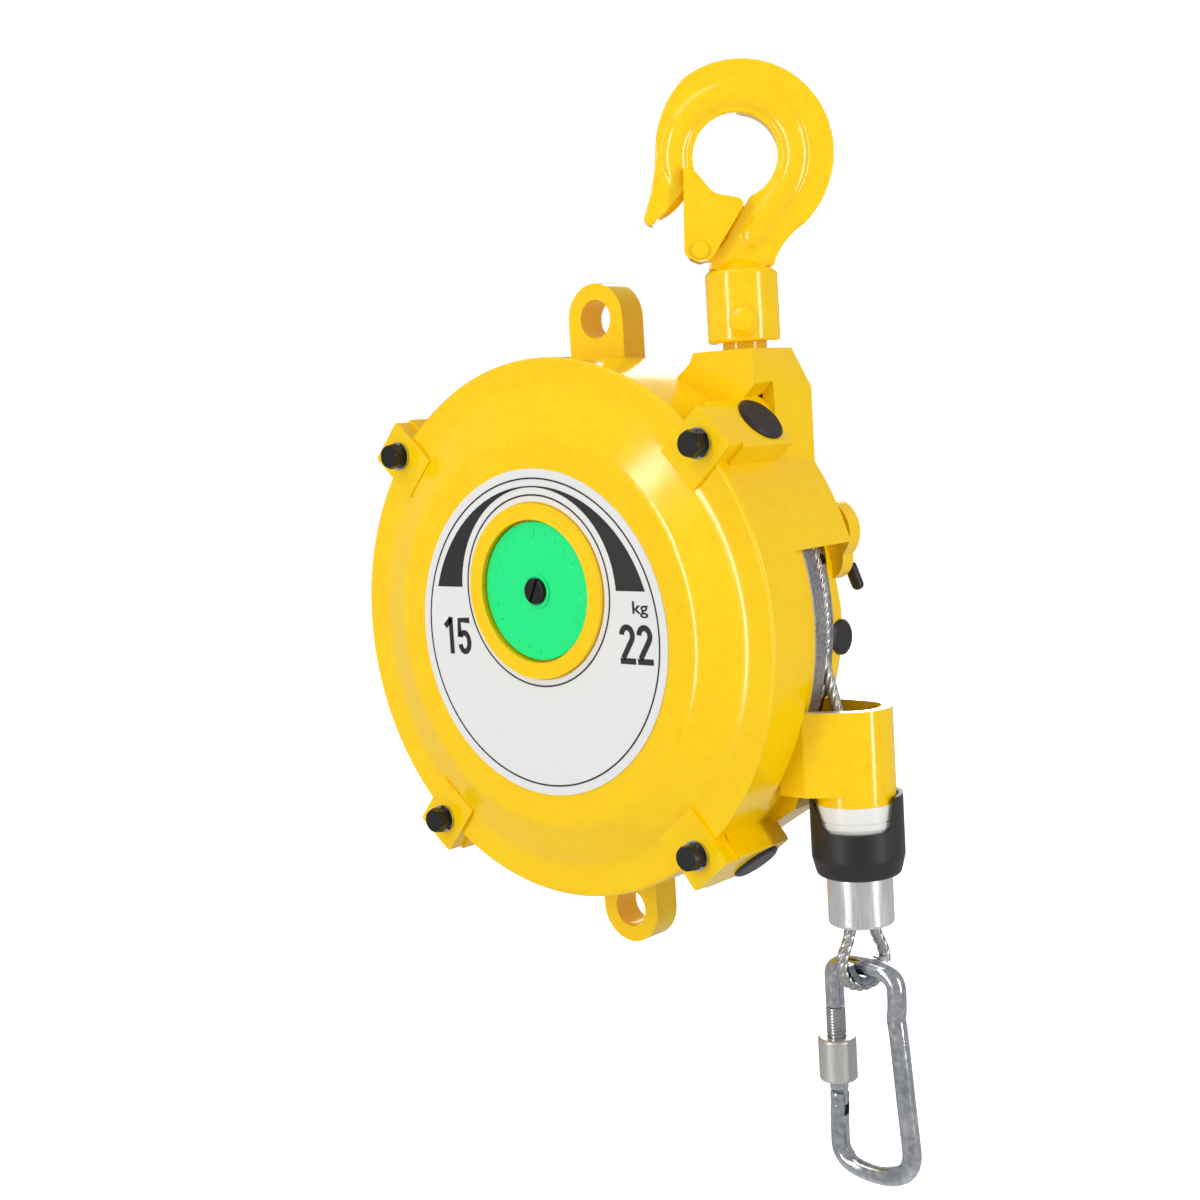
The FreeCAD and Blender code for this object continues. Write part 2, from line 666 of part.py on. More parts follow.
def tower():
    """Cable tower with a round nose and the gusset under it."""
    height = TOWER_TOP - TOWER_BOTTOM
    nose = Part.makeCylinder(TOWER_R, height, Vector(CABLE_OFFSET, 0, TOWER_BOTTOM))
    gusset = plate([GUSSET_START, (TOWER_FOOT_X - 2, TOWER_BOTTOM - 4), (TOWER_FOOT_X + 2, TOWER_BOTTOM + TOWER_LIFT),
                    (CABLE_OFFSET, TOWER_BOTTOM + 16), (TOWER_FOOT_X, TOWER_TOP)], -GUSSET_HALF_Y, GUSSET_HALF_Y)
    return column(tower_outline(0), TOWER_BOTTOM + TOWER_LIFT, TOWER_TOP).fuse(nose).fuse(gusset)


def tower_pocket():
    """Hollow of the tower above the guide."""
    floor = TOWER_BOTTOM + TOWER_FLOOR
    nose = Part.makeCylinder(TOWER_R - TOWER_WALL, -floor, Vector(CABLE_OFFSET, 0, floor))
    return column(tower_outline(TOWER_WALL), floor, 0).fuse(nose)


def main_case():
    """Cast main case."""
    front = FACE_Y + FLANGE_T
    body = case_barrel()
    block = bolt_block(front, front + CASE_BLOCK_DEPTH, CASE_BLOCK_W)
    ear_back = REAR_WALL_Y + 4 + LOCK_EAR_T
    lock_ear = rod_y(LOCK_EAR_R, LOCK_X - 1, LOCK_EAR_Z, REAR_WALL_Y + 4, ear_back)
    lock_boss = rod_y(LOCK_PIN_R + 6, LOCK_X, LOCK_Z, REAR_WALL_Y + 4, ear_back)
    body = joined(body, bracket(), tower(), safety_lug(1), safety_lug(-1), *at_bolts(block))
    body = body.cut(case_cavity())
    body = body.cut(rear_chamber())
    body = body.cut(tower_pocket())
    window = box(WINDOW_FLAT_X, 160, WINDOW_FRONT_Y, 60, TOWER_TOP, WINDOW_HALF_H)
    body = body.cut(window)
    body = body.fuse(lock_ear).fuse(lock_boss)
    axis_x = -DRUM_X
    pocket = Part.makeCylinder(BRACKET_POCKET_R, 30, Vector(axis_x, 0, BRACKET_TOP - BRACKET_PLATE_T - 30))
    cuts = [pocket, Part.makeCylinder(STUD_R + BUSH_WALL, 40, Vector(axis_x, 0, BRACKET_TOP - 20))]
    cuts += [rod_y(LUG_HOLE_R, 0, s * LUG_CENTRE_R, -LUG_T, LUG_T) for s in (1, -1)]
    cuts += at_bolts(rod_y(BOLT_R, BOLT_CIRCLE_R, 0, front - 1, front + 18))
    cuts += [Part.makeCylinder(GUIDE_SPIGOT_R, 30, Vector(CABLE_OFFSET, 0, TOWER_BOTTOM - 1)),
             rod_y(LOCK_PIN_R + FIT_GAP, LOCK_X, LOCK_Z, 0, REAR_Y + 10),
             rod_y(JOURNAL_R + BUSH_WALL, 0, 0, REAR_WALL_Y - 1, REAR_WALL_Y + 15),
             rod(WORM_SHAFT_R + BUSH_WALL, Vector(-130, worm_y(), worm_z()), Vector(-60, worm_y(), worm_z()))]
    seat_r = BOLT_CIRCLE_R + BLOCK_OUT
    for angle in (UPPER_BOLT_ANGLE, LOWER_BOLT_ANGLE):
        hole = rod(PLUG_R - 2.5, Vector(seat_r - 6, SIDE_PLUG_Y, 0), Vector(seat_r + 5, SIDE_PLUG_Y, 0))
        cuts.append(turn(hole, -angle, Y_AXIS))
    cuts.append(rod(REAR_PLUG_R - 2, Vector(WINDOW_FLAT_X - 6, REAR_PLUG_Y, REAR_PLUG_Z),
                    Vector(WINDOW_FLAT_X + 2, REAR_PLUG_Y, REAR_PLUG_Z)))
    for tool in cuts:
        body = body.cut(tool)
    return body


# ---------------------------------------------------------------- plugs, guide, lock
def plug(head_r, hole_r):
    """Rubber plug pointing along +X, its seat at x = 0."""
    profile = [(0, -5), (hole_r, -5), (hole_r, 0), (head_r, 0), (head_r, PLUG_HEAD_H * 0.5),
               (head_r - 1.2, PLUG_HEAD_H), (0, PLUG_HEAD_H)]
    return turn(turned(profile), -90)


def side_plugs():
    """Two rubber plugs on the right-hand bolt blocks."""
    one = moved(plug(PLUG_R, PLUG_R - 2.5), BOLT_CIRCLE_R + BLOCK_OUT, SIDE_PLUG_Y, 0)
    return Part.makeCompound([turn(one, -a, Y_AXIS) for a in (UPPER_BOLT_ANGLE, LOWER_BOLT_ANGLE)])


def rear_plug():
    """Rubber plug at the rear edge of the window."""
    return moved(plug(REAR_PLUG_R, REAR_PLUG_R - 2), WINDOW_FLAT_X, REAR_PLUG_Y, REAR_PLUG_Z)


def rope_guide():
    """White resin guide under the tower."""
    top = TOWER_BOTTOM
    bottom = top - GUIDE_FLANGE_T
    seam = top - GUIDE_FLANGE_T / 2
    return turned([(GUIDE_BORE_R, bottom + 3), (GUIDE_BORE_R + 2, bottom), (GUIDE_R - 1.5, bottom),
                   (GUIDE_R, bottom + 4), (GUIDE_R, seam - 0.4), (GUIDE_R - 0.6, seam - 0.2),
                   (GUIDE_R - 0.6, seam + 0.2), (GUIDE_R, seam + 0.4), (GUIDE_R, top), (GUIDE_SPIGOT_R - FIT_GAP, top),
                   (GUIDE_SPIGOT_R - FIT_GAP, top + 20), (GUIDE_BORE_R + 5, top + 20),
                   (GUIDE_BORE_R, top + 8)], Z_AXIS)


def lock_handle_y():
    """Depth of the lock pin's handle while the drum is free."""
    return REAR_WALL_Y + 4 + LOCK_EAR_T + LOCK_TRAVEL + LOCK_HANDLE_GAP


def lock_pin():
    """Cranked steel pin: a straight bolt through the ear, then a handle hanging down."""
    back = lock_handle_y()
    knee_at = Vector(LOCK_X, back, LOCK_Z)
    bolt = rod_y(LOCK_PIN_R, LOCK_X, LOCK_Z, DRUM_REAR_Y + 0.6, back)
    knee = Part.makeSphere(LOCK_PIN_R, knee_at)
    handle = rod(LOCK_PIN_R * 0.6, knee_at, Vector(LOCK_X, back, LOCK_Z - 8))
    return joined(bolt, knee, turn(handle, LOCK_HANDLE_TILT, Y_AXIS, knee_at))


def lock_grip():
    """Black capsule-shaped grip on the handle of the lock pin."""
    back = lock_handle_y()
    top = LOCK_Z - LOCK_PIN_R - 0.8
    length = LOCK_GRIP_LENGTH
    r = LOCK_GRIP_R
    grip = turned([(0, -length), (r, -length, r * 0.9), (r, 0, r * 0.5), (0, 0)], Z_AXIS)
    hole = Part.makeCylinder(LOCK_PIN_R * 0.6, 20, Vector(0, 0, LOCK_Z - 8 - top))
    grip = moved(grip.cut(hole), LOCK_X, back, top)
    return turn(grip, LOCK_HANDLE_TILT, Y_AXIS, Vector(LOCK_X, back, LOCK_Z))


# ---------------------------------------------------------------- drum
def rope_pitch_radius(turn_index):
    """Pitch radius of one turn of rope on the cone."""
    return ROPE_FIRST_R + ROPE_CONE_STEP * turn_index


def rope_turn_y(turn_index):
    """Depth of one turn of rope."""
    return ROPE_FIRST_Y + ROPE_PITCH * turn_index


def drum():
    """Rope drum: tapered grooved shell, front rim, web, hub and locking notches."""
    last = ROPE_TURNS - 1
    shell_front = ROPE_FIRST_R - ROPE_R + GROOVE_DEPTH
    shell_rear = shell_front + ROPE_CONE_STEP * last
    inner = shell_front - GROOVE_DEPTH - DRUM_WALL
    rim_back = RIM_FRONT_Y + RIM_T
    web_front = DRUM_REAR_Y - DRUM_WEB_T
    flange_y = DRUM_REAR_Y - LOCK_FLANGE_T
    bore = SHAFT_R + BUSH_WALL
    body = turned([
        (bore, DRUM_FRONT_Y + 4), (HUB_R - 4, DRUM_FRONT_Y + 4), (HUB_R - 4, web_front, 2), (inner, web_front, 4),
        (inner, DRUM_FRONT_Y), (inner + DRUM_WALL, DRUM_FRONT_Y), (inner + DRUM_WALL, RIM_FRONT_Y - 6, 3),
        (RIM_R - 3, RIM_FRONT_Y, 2), (RIM_R, RIM_FRONT_Y, 0.8), (RIM_R, rim_back, 0.8), (RIM_R - 4, rim_back),
        (shell_front + 1, rim_back + 0.4), (shell_front, rim_back + 0.6), (shell_rear, flange_y),
        (LOCK_FLANGE_R, flange_y, 0.6), (LOCK_FLANGE_R, DRUM_REAR_Y, 0.6), (bore, DRUM_REAR_Y)])
    for i in range(ROPE_TURNS):
        body = body.cut(Part.makeTorus(rope_pitch_radius(i), ROPE_R + 0.05, Vector(0, rope_turn_y(i), 0), Y_AXIS))
    pin_r = math.hypot(LOCK_X, LOCK_Z)
    first = math.degrees(math.atan2(LOCK_Z, LOCK_X))
    for i in range(LOCK_NOTCHES):
        x, z = polar(pin_r, first + 360.0 * i / LOCK_NOTCHES)
        body = body.cut(rod_y(LOCK_PIN_R + LOCK_NOTCH_GAP, x, z, DRUM_REAR_Y - LOCK_FLANGE_T, DRUM_REAR_Y + 1))
    return body


def rope_on_drum():
    """The turns of wire rope that lie in the drum's grooves."""
    rings = [Part.makeTorus(rope_pitch_radius(i), ROPE_R, Vector(0, rope_turn_y(i), 0), Y_AXIS)
             for i in range(ROPE_TURNS)]
    return Part.makeCompound(rings)


def spring_lid():
    """Lid of the spring chamber in the drum."""
    inner = ROPE_FIRST_R - ROPE_R - DRUM_WALL
    y1 = DRUM_FRONT_Y
    return turned([(SHAFT_R + 3, y1 - LID_T), (inner + DRUM_WALL, y1 - LID_T, 0.8), (inner + DRUM_WALL, y1),
                   (SHAFT_R + 3, y1)])


def power_spring():
    """Flat spiral spring: half turns of strip with growing radii."""
    pitch = (SPRING_OUTER_R - SPRING_INNER_R) / SPRING_COILS

    def arm(offset):
        points = []
        for i in range(2 * SPRING_COILS + 1):
            radius = SPRING_INNER_R + pitch * i / 2 + offset
            side = 1 if i % 2 == 0 else -1
            points.append(Vector(side * radius, 0, 0))
        edges = []
        for i in range(2 * SPRING_COILS):
            start, end = points[i], points[i + 1]
            middle = (start + end) * 0.5
            radius = (end - start).Length / 2
            up = 1 if i % 2 == 0 else -1
            edges.append(Part.Arc(start, Vector(middle.x, 0, up * radius), end).toShape())
        return edges, points

    inner_edges, inner_points = arm(0.0)
    outer_edges, outer_points = arm(SPRING_STRIP_T)
    ends = [Part.LineSegment(inner_points[0], outer_points[0]).toShape(),
            Part.LineSegment(inner_points[-1], outer_points[-1]).toShape()]
    face = Part.Face(Part.Wire(Part.__sortEdges__(inner_edges + outer_edges + ends)))
    y0 = DRUM_FRONT_Y + SPRING_SIDE_GAP
    strip = face.extrude(Vector(0, DRUM_REAR_Y - DRUM_WEB_T - y0, 0))
    return moved(strip, 0, y0, 0)


def drum_bushes():
    """Two bronze bushes in the drum's hub."""
    bushes = []
    for y0 in (DRUM_FRONT_Y + 4, DRUM_REAR_Y - 12):
        bushes.append(turned([(SHAFT_R + FIT_GAP, y0), (SHAFT_R + BUSH_WALL, y0), (SHAFT_R + BUSH_WALL, y0 + 12),
                              (SHAFT_R + FIT_GAP, y0 + 12)]))
    return Part.makeCompound(bushes)


# ---------------------------------------------------------------- main shaft
def main_shaft():
    """Stepped main shaft with its pinion."""
    gear_end = DIAL_GEAR_FRONT_Y + DIAL_GEAR_W
    front = FACE_Y - DOME_RISE + COVER_WALL + 0.5
    pinion_root = DIAL_MODULE * (PINION_TEETH / 2 - 1.15)
    shaft = turned([(0, front), (pinion_root - 0.3, front), (pinion_root - 0.3, gear_end + 0.6),
                    (SHAFT_R, gear_end + 0.6, 0.5), (SHAFT_R, DRUM_REAR_Y + RUN_GAP),
                    (JOURNAL_R, DRUM_REAR_Y + RUN_GAP), (JOURNAL_R, REAR_WALL_Y + 13), (0, REAR_WALL_Y + 13)])
    pinion = spur_gear(PINION_TEETH, DIAL_MODULE, 0.18, DIAL_GEAR_FRONT_Y, DIAL_GEAR_W + 0.8)
    return joined(shaft, pinion)


def bush_y(bore_r, y0, y1):
    """Plain bush along Y on the drum axis."""
    return turned([(bore_r + FIT_GAP, y0), (bore_r + BUSH_WALL, y0), (bore_r + BUSH_WALL, y1), (bore_r + FIT_GAP, y1)])


def front_bush():
    """Bush in the cover for the shaft's front journal."""
    pinion_root = DIAL_MODULE * (PINION_TEETH / 2 - 1.15)
    y0 = FACE_Y - DOME_RISE + COVER_WALL
    y1 = DIAL_GEAR_FRONT_Y - 0.6
    return turned([(pinion_root - 0.3 + FIT_GAP, y0), (JOURNAL_R + BUSH_WALL, y0), (JOURNAL_R + BUSH_WALL, y1),
                   (pinion_root - 0.3 + FIT_GAP, y1)])


def rear_bush():
    """Bush in the rear wall."""
    return bush_y(JOURNAL_R, REAR_WALL_Y, REAR_WALL_Y + 15)


def worm_bushes():
    """Bushes for both journals of the worm."""
    bushes = []
    wall_x = -case_half_width_at(worm_z())
    for x0, x1 in ((worm_inner_x(), worm_inner_x() + 9), (wall_x, wall_x + WORM_BUSH_L)):
        ring = rod(WORM_SHAFT_R + BUSH_WALL, Vector(x0, worm_y(), worm_z()), Vector(x1, worm_y(), worm_z()))
        hole = rod(WORM_SHAFT_R + FIT_GAP, Vector(x0 - 1, worm_y(), worm_z()), Vector(x1 + 1, worm_y(), worm_z()))
        bushes.append(ring.cut(hole))
    return Part.makeCompound(bushes)


# ---------------------------------------------------------------- top hook
def hook_place(u, z):
    """Point in the hook's own plane."""
    return Vector(u, -HOOK_HALF_T, z)


def hook_bead(centre_z):
    """Round bead along the hook's middle: up the neck, round the bowl and tapering along the tongue."""
    radius = BOWL_R + BEAD_R

    def at(angle):
        u, v = polar(radius, angle)
        return Vector(u, 0, centre_z + v)

    start, end = BEAD_ANGLES
    down = Vector(math.sin(math.radians(start)), 0, -math.cos(math.radians(start)))
    neck = at(start) + down * BEAD_NECK_L
    bowl = Part.Wire([Part.LineSegment(neck, at(start)).toShape(),
                      Part.Arc(at(start), at((start + end) / 2), at(end)).toShape()])
    bar = bowl.makePipeShell([Part.Wire(Part.Circle(neck, down, BEAD_R).toShape())], True, False)
    tip = Vector(BEAD_TIP[0], 0, BEAD_TIP[1])
    leave = Vector(-math.sin(math.radians(end)), 0, math.cos(math.radians(end)))
    side = Vector(leave.z, 0, -leave.x)
    span = tip - at(end)
    bend = span.dot(span) / (2 * span.dot(side))
    centre = at(end) + side * bend
    half_way = (at(end) + tip) * 0.5 - centre
    half_way.normalize()
    tongue_path = Part.Arc(at(end), centre + half_way * abs(bend), tip)
    arrive = Vector(*tongue_path.tangent(tongue_path.LastParameter)[0])
    tongue = Part.Wire(tongue_path.toShape()).makePipeShell(
        [Part.Wire(Part.Circle(at(end), leave, BEAD_R).toShape()),
         Part.Wire(Part.Circle(tip, arrive, BEAD_TIP_R).toShape())], True, False)
    return bar.fuse(tongue).fuse(Part.makeSphere(BEAD_R, neck)).fuse(Part.makeSphere(BEAD_TIP_R, tip))


def hook():
    """Forged swivel hook with a raised bead round the bowl and a shank in the collar."""
    centre_z = -BOWL_R
    back = (1.4, centre_z)

    def on_back(angle):
        u, v = polar(HOOK_BACK_R, angle)
        return back[0] + u, back[1] + v

    def on_bowl(angle):
        u, v = polar(BOWL_R, angle)
        return u, centre_z + v

    def arc(a, b, c):
        return Part.Arc(hook_place(*a), hook_place(*b), hook_place(*c)).toShape()

    def line(a, b):
        return Part.LineSegment(hook_place(*a), hook_place(*b)).toShape()

    neck_right, neck_left = (NECK_HALF_W, COLLAR_TOP + 0.3), (-NECK_HALF_W, COLLAR_TOP + 0.3)
    shoulder = on_back(-50)
    crown_end = on_back(122)
    arm = (-32.3, -11.5)
    tip_out, tip_in = (-38.6, -39.2), (-33.4, -40.6)
    bowl_left, bowl_right = on_bowl(195), on_bowl(-72)
    edges = [
        arc(neck_right, (18.3, -53.4), shoulder), arc(shoulder, on_back(35), crown_end),
        arc(crown_end, (-27.9, 4.0), arm), arc(arm, (-34.3, -26.0), tip_out),
        arc(tip_out, (-36.7, -42.6), tip_in), arc(tip_in, (-23.0, -31.5), bowl_left),
        arc(bowl_left, (0, 0), bowl_right), line(bowl_right, (-10.0, -56.5)), line((-10.0, -56.5), neck_left),
        line(neck_left, neck_right)]
    body = Part.Face(Part.Wire(edges)).extrude(Vector(0, 2 * HOOK_HALF_T, 0))
    bead = hook_bead(centre_z)
    x, z = LATCH_PIVOT
    lug = rod_y(LATCH_LUG_R, x, z, -HOOK_HALF_T, 2.5)
    bridge = box(x, x + 8, -HOOK_HALF_T, 2.5, z - LATCH_LUG_R, z + 1)
    shank = Part.makeCylinder(SHANK_R, 13.3, Vector(0, 0, COLLAR_TOP - 13))
    neck_cone = Part.makeCone(SHANK_R, HOOK_HALF_T, 4.5, Vector(0, 0, COLLAR_TOP + 0.3), Z_AXIS)
    bowl = rod_y(BOWL_R, 0, centre_z, -20, 20)
    body = body.fuse(bead).fuse(lug).fuse(bridge).fuse(shank).fuse(neck_cone)
    body = body.cut(bowl.cut(box(-60, 60, -20, 20, -60, centre_z - 14)))
    return body.cut(rod_y(LATCH_PIN_R, x, z, -20, 20))


def hook_collar():
    """Collar that joins the shank to the swivel stud."""
    body = turned([(0, COLLAR_BOTTOM), (COLLAR_R, COLLAR_BOTTOM, 1.5), (COLLAR_R, COLLAR_TOP, 2.5),
                   (0, COLLAR_TOP)], Z_AXIS)
    body = body.cut(Part.makeCylinder(SHANK_R, 20, Vector(0, 0, COLLAR_TOP - 13)))
    body = body.cut(Part.makeCylinder(STUD_R, 30, Vector(0, 0, COLLAR_TOP - 44)))
    return body.cut(rod_y(RIVET_R, 0, RIVET_Z, -30, 30))


def stud_top():
    """Top of the swivel stud inside the collar."""
    return COLLAR_TOP - 14


def swivel_stud():
    """Stud from the collar through the bracket, stepped down to its thread."""
    plate_top = DRUM_Z + BRACKET_TOP
    under = plate_top - BRACKET_PLATE_T
    end = under - 2 - 8.5
    body = turned([(0, end), (STUD_THREAD_R, end, 1), (STUD_THREAD_R, under + 0.2), (STUD_R, under + 0.2),
                   (STUD_R, stud_top()), (0, stud_top())], Z_AXIS)
    return body.cut(rod_y(RIVET_R, 0, RIVET_Z, -30, 30))


def collar_rivet():
    """Cross rivet through the collar and the stud."""
    reach = COLLAR_R
    shank = rod_y(RIVET_R, 0, RIVET_Z, -reach, reach)
    cap = turned([(0, 0), (RIVET_HEAD_R, 0), (RIVET_HEAD_R, 0.8), (RIVET_HEAD_R - 2.2, 2.4), (0, 3.0)])
    head = moved(cap, 0, reach, RIVET_Z)
    return joined(shank, head, turn(head, 180, Z_AXIS))


def thrust_washer():
    """Washer under the bracket's plate."""
    top = DRUM_Z + BRACKET_TOP - BRACKET_PLATE_T - RUN_GAP
    return turned([(STUD_THREAD_R, top - 1.7), (BRACKET_POCKET_R - 0.6, top - 1.7), (BRACKET_POCKET_R - 0.6, top),
                   (STUD_THREAD_R, top)], Z_AXIS)


def stud_nut():
    """Nut on the stud, with castle slots."""
    top = DRUM_Z + BRACKET_TOP - BRACKET_PLATE_T - RUN_GAP - 1.7
    corner = BRACKET_POCKET_R - 0.9
    nut = column([polar(corner, 60 * i) for i in range(6)], top - 7.5, top)
    nut = nut.cut(Part.makeCylinder(STUD_THREAD_R, 20, Vector(0, 0, top - 12)))
    for i in range(3):
        slot = turn(box(-20, 20, -1.2, 1.2, top - 9, top - 5), 60 * i)
        nut = nut.cut(slot)
    return nut


def swivel_bush():
    """Bush in the bracket's plate."""
    top = DRUM_Z + BRACKET_TOP
    return turned([(STUD_R + FIT_GAP, top - BRACKET_PLATE_T), (STUD_R + BUSH_WALL, top - BRACKET_PLATE_T),
                   (STUD_R + BUSH_WALL, top), (STUD_R + FIT_GAP, top)], Z_AXIS)


# ---------------------------------------------------------------- latch
def hook_latch():
    """Pressed latch: two cheeks and the web that joins them."""
    x, z = LATCH_PIVOT
    left = x - LATCH_LUG_R - 0.5 - LATCH_SHEET_T
    outer_half = LATCH_INNER_HALF + LATCH_SHEET_T
    outline = [(left, z - 2.0, 4), (x - 1.5, z - 4.6, 3), (x + 4.5, z - 3.8, 3)]
    outline += [(x + du, z + dz, r) for du, dz, r in LATCH_CHEEK_TOP] + [(left + 1.5, z + LATCH_H, 1)]
    body = plate(outline, -outer_half, outer_half)
    hollow = plate([(left + LATCH_SHEET_T, z - 12), (30, z - 12), (30, -10), (left + LATCH_SHEET_T + 1.4, -10)],
                   -LATCH_INNER_HALF, LATCH_INNER_HALF)
    web_end = box(left - 1, -15, -LATCH_INNER_HALF, LATCH_INNER_HALF, LATCH_WEB_TOP, -10)
    return body.cut(hollow).cut(web_end).cut(rod_y(LATCH_PIN_R + FIT_GAP, x, z, -20, 20))


def latch_rivet():
    """Rivet through the latch and the hook's lug."""
    x, z = LATCH_PIVOT
    reach = LATCH_INNER_HALF + LATCH_SHEET_T + 0.3
    shank = rod_y(LATCH_PIN_R - 0.02, 0, 0, -reach, reach)
    cap = turned([(0, 0), (LATCH_PIN_R + 1.2, 0), (LATCH_PIN_R + 0.9, 1.0), (0, 1.5)])
    head = moved(cap, 0, reach, 0)
    return moved(joined(shank, head, turn(head, 180, Z_AXIS)), x, 0, z)


def latch_spring():
    """Torsion spring round the rivet, beside the lug."""
    x, z = LATCH_PIVOT
    coils = []
    for i in range(3):
        coils.append(Part.makeTorus(LATCH_PIN_R + 1.1, 0.6, Vector(x, 3.6 + 1.25 * i, z), Y_AXIS))
    return Part.makeCompound(coils)


# ---------------------------------------------------------------- rope and load end
def rope_lead():
    """Rope from the drum's front groove to the guide; its start keeps clear of the turning drum."""
    end = (CABLE_OFFSET, ROPE_LEAD_END_Z)
    reach = math.hypot(*end)
    tangent = math.degrees(math.atan2(end[1], end[0]) + math.acos(ROPE_FIRST_R / reach))
    touch = Vector(*polar(ROPE_FIRST_R, tangent)[:1], ROPE_FIRST_Y, polar(ROPE_FIRST_R, tangent)[1])
    foot = Vector(end[0], 0, end[1])
    along = foot - touch
    start = touch + along * ((2 * ROPE_R + RUN_GAP + 28) / along.Length)
    return rod(ROPE_R, start, foot - along * (4.0 / along.Length))


def rope_run():
    """Rope between the guide and the clamp."""
    return Part.makeCylinder(ROPE_R, ROPE_LEAD_END_Z - 4 - BUFFER_BOTTOM, Vector(0, 0, BUFFER_BOTTOM))


def rubber_buffer():
    """Rubber buffer: a cup that closes over the guide, with two high cheeks."""
    outer = GUIDE_R + RUN_GAP + BUFFER_WALL
    body = turned([(ROPE_R + 0.3, BUFFER_BOTTOM), (outer - 2, BUFFER_BOTTOM, 2), (outer, BUFFER_BOTTOM + 8, 3),
                   (outer, BUFFER_EAR_TOP), (GUIDE_R + RUN_GAP, BUFFER_EAR_TOP),
                   (GUIDE_R + RUN_GAP, BUFFER_FLOOR_TOP), (ROPE_R + 0.3, BUFFER_FLOOR_TOP)], Z_AXIS)
    lip = BUFFER_FLOOR_TOP + 3.5
    scallop = plate([(-BUFFER_EAR_HALF_W - 7, BUFFER_EAR_TOP + 5), (-BUFFER_EAR_HALF_W, lip, 4),
                     (BUFFER_EAR_HALF_W, lip, 3), (BUFFER_EAR_HALF_W + 3, BUFFER_EAR_TOP + 5)], -30, 30)
    return turn(body.cut(scallop), BUFFER_YAW)


def eye_path(radius, top_z, neck):
    """Teardrop loop in X and Z, open at the top."""
    centre_z = SNAP_TOP - SNAP_R - 0.3 + EYE_R - ROPE_R - THIMBLE_T
    bottom_z = centre_z - radius
    points = [(neck, top_z), (neck, top_z - 5, 12), (radius, centre_z + 4, 9), (radius, bottom_z, radius * 0.95),
              (-radius, bottom_z, radius * 0.95), (-radius, centre_z + 4, 9), (-neck, top_z - 5, 12), (-neck, top_z)]
    return rounded_edges(points, lambda x, z: Vector(x, 0, z), closed=False)


def rope_eye():
    """Both strands below the clamp and the loop they form."""
    return turn(tube(eye_path(EYE_R, CLAMP_BOTTOM, EYE_NECK + 1), ROPE_R), EYE_YAW)


def rope_clamp():
    """Aluminium clamp on the rope."""
    return turned([(0, CLAMP_BOTTOM), (CLAMP_R, CLAMP_BOTTOM, 1.2), (CLAMP_R, BUFFER_BOTTOM, 0.8),
                   (0, BUFFER_BOTTOM)], Z_AXIS)


def thimble():
    """Galvanised channel inside the rope's loop."""
    centre_z = SNAP_TOP - SNAP_R - 0.3 + EYE_R - ROPE_R - THIMBLE_T
    outer = EYE_R - ROPE_R - 0.05
    ring = turned([(outer - THIMBLE_T, -ROPE_R), (outer + 1.6, -ROPE_R - 0.6), (outer + 1.6, -ROPE_R + 0.1),
                   (outer, -ROPE_R + 1.2), (outer, ROPE_R - 1.2), (outer + 1.6, ROPE_R - 0.1),
                   (outer + 1.6, ROPE_R + 0.6), (outer - THIMBLE_T, ROPE_R)])
    ring = ring.common(box(-20, 20, -20, 20, -20, 0))
    ring = ring.cut(Part.makeTorus(EYE_R, ROPE_R, ORIGIN, Y_AXIS))
    return turn(moved(ring, 0, 0, centre_z), EYE_YAW)


# ---------------------------------------------------------------- snap hook
def snap_bottom():
    """Centre line of the snap hook's lowest bar."""
    return SNAP_TOP - SNAP_LENGTH


def snap_hook():
    """Bent frame of the snap hook, forked at the gate's hinge."""
    points = [(SNAP_LEFT, GATE_NOSE_Z), (SNAP_LEFT, SNAP_TOP, 13), (SNAP_RIGHT_TOP, SNAP_TOP, 13),
              (SNAP_RIGHT_TOP, SNAP_TOP - 19, 12), (SNAP_RIGHT, SNAP_TOP - 34, 14),
              (SNAP_RIGHT, snap_bottom(), 16.5), (SNAP_LEFT, snap_bottom(), 16.5), (SNAP_LEFT, GATE_PIVOT_Z + 3.6)]
    bar = tube(rounded_edges(points, lambda x, z: Vector(x, 0, z), closed=False), SNAP_R)
    slot_half = GATE_TONGUE_T / 2 + RUN_GAP
    slot = box(SNAP_LEFT - 8, SNAP_LEFT + 8, -slot_half, slot_half, GATE_PIVOT_Z - 6, GATE_PIVOT_Z + 8)
    return bar.cut(slot).cut(rod_y(GATE_PIN_R, SNAP_LEFT, GATE_PIVOT_Z, -10, 10))


def snap_gate():
    """Gate bar with its tongue in the frame's fork."""
    foot = GATE_PIVOT_Z + GATE_BAR_LIFT
    bar = Part.makeCylinder(SNAP_R - 0.1, GATE_NOSE_Z - GATE_GAP - foot, Vector(SNAP_LEFT, 0, foot))
    half = GATE_TONGUE_T / 2
    tongue = plate([(SNAP_LEFT - 3.4, foot + 2), (SNAP_LEFT - 3.4, GATE_PIVOT_Z - 3.4, 3.3),
                    (SNAP_LEFT + 3.4, GATE_PIVOT_Z - 3.4, 3.3), (SNAP_LEFT + 3.4, foot + 2)], -half, half)
    return joined(bar, tongue).cut(rod_y(GATE_PIN_R + FIT_GAP, SNAP_LEFT, GATE_PIVOT_Z, -10, 10))


def gate_rivet():
    """Hinge rivet of the gate."""
    return rod_y(GATE_PIN_R - 0.02, SNAP_LEFT, GATE_PIVOT_Z, -SNAP_R - 0.2, SNAP_R + 0.2)


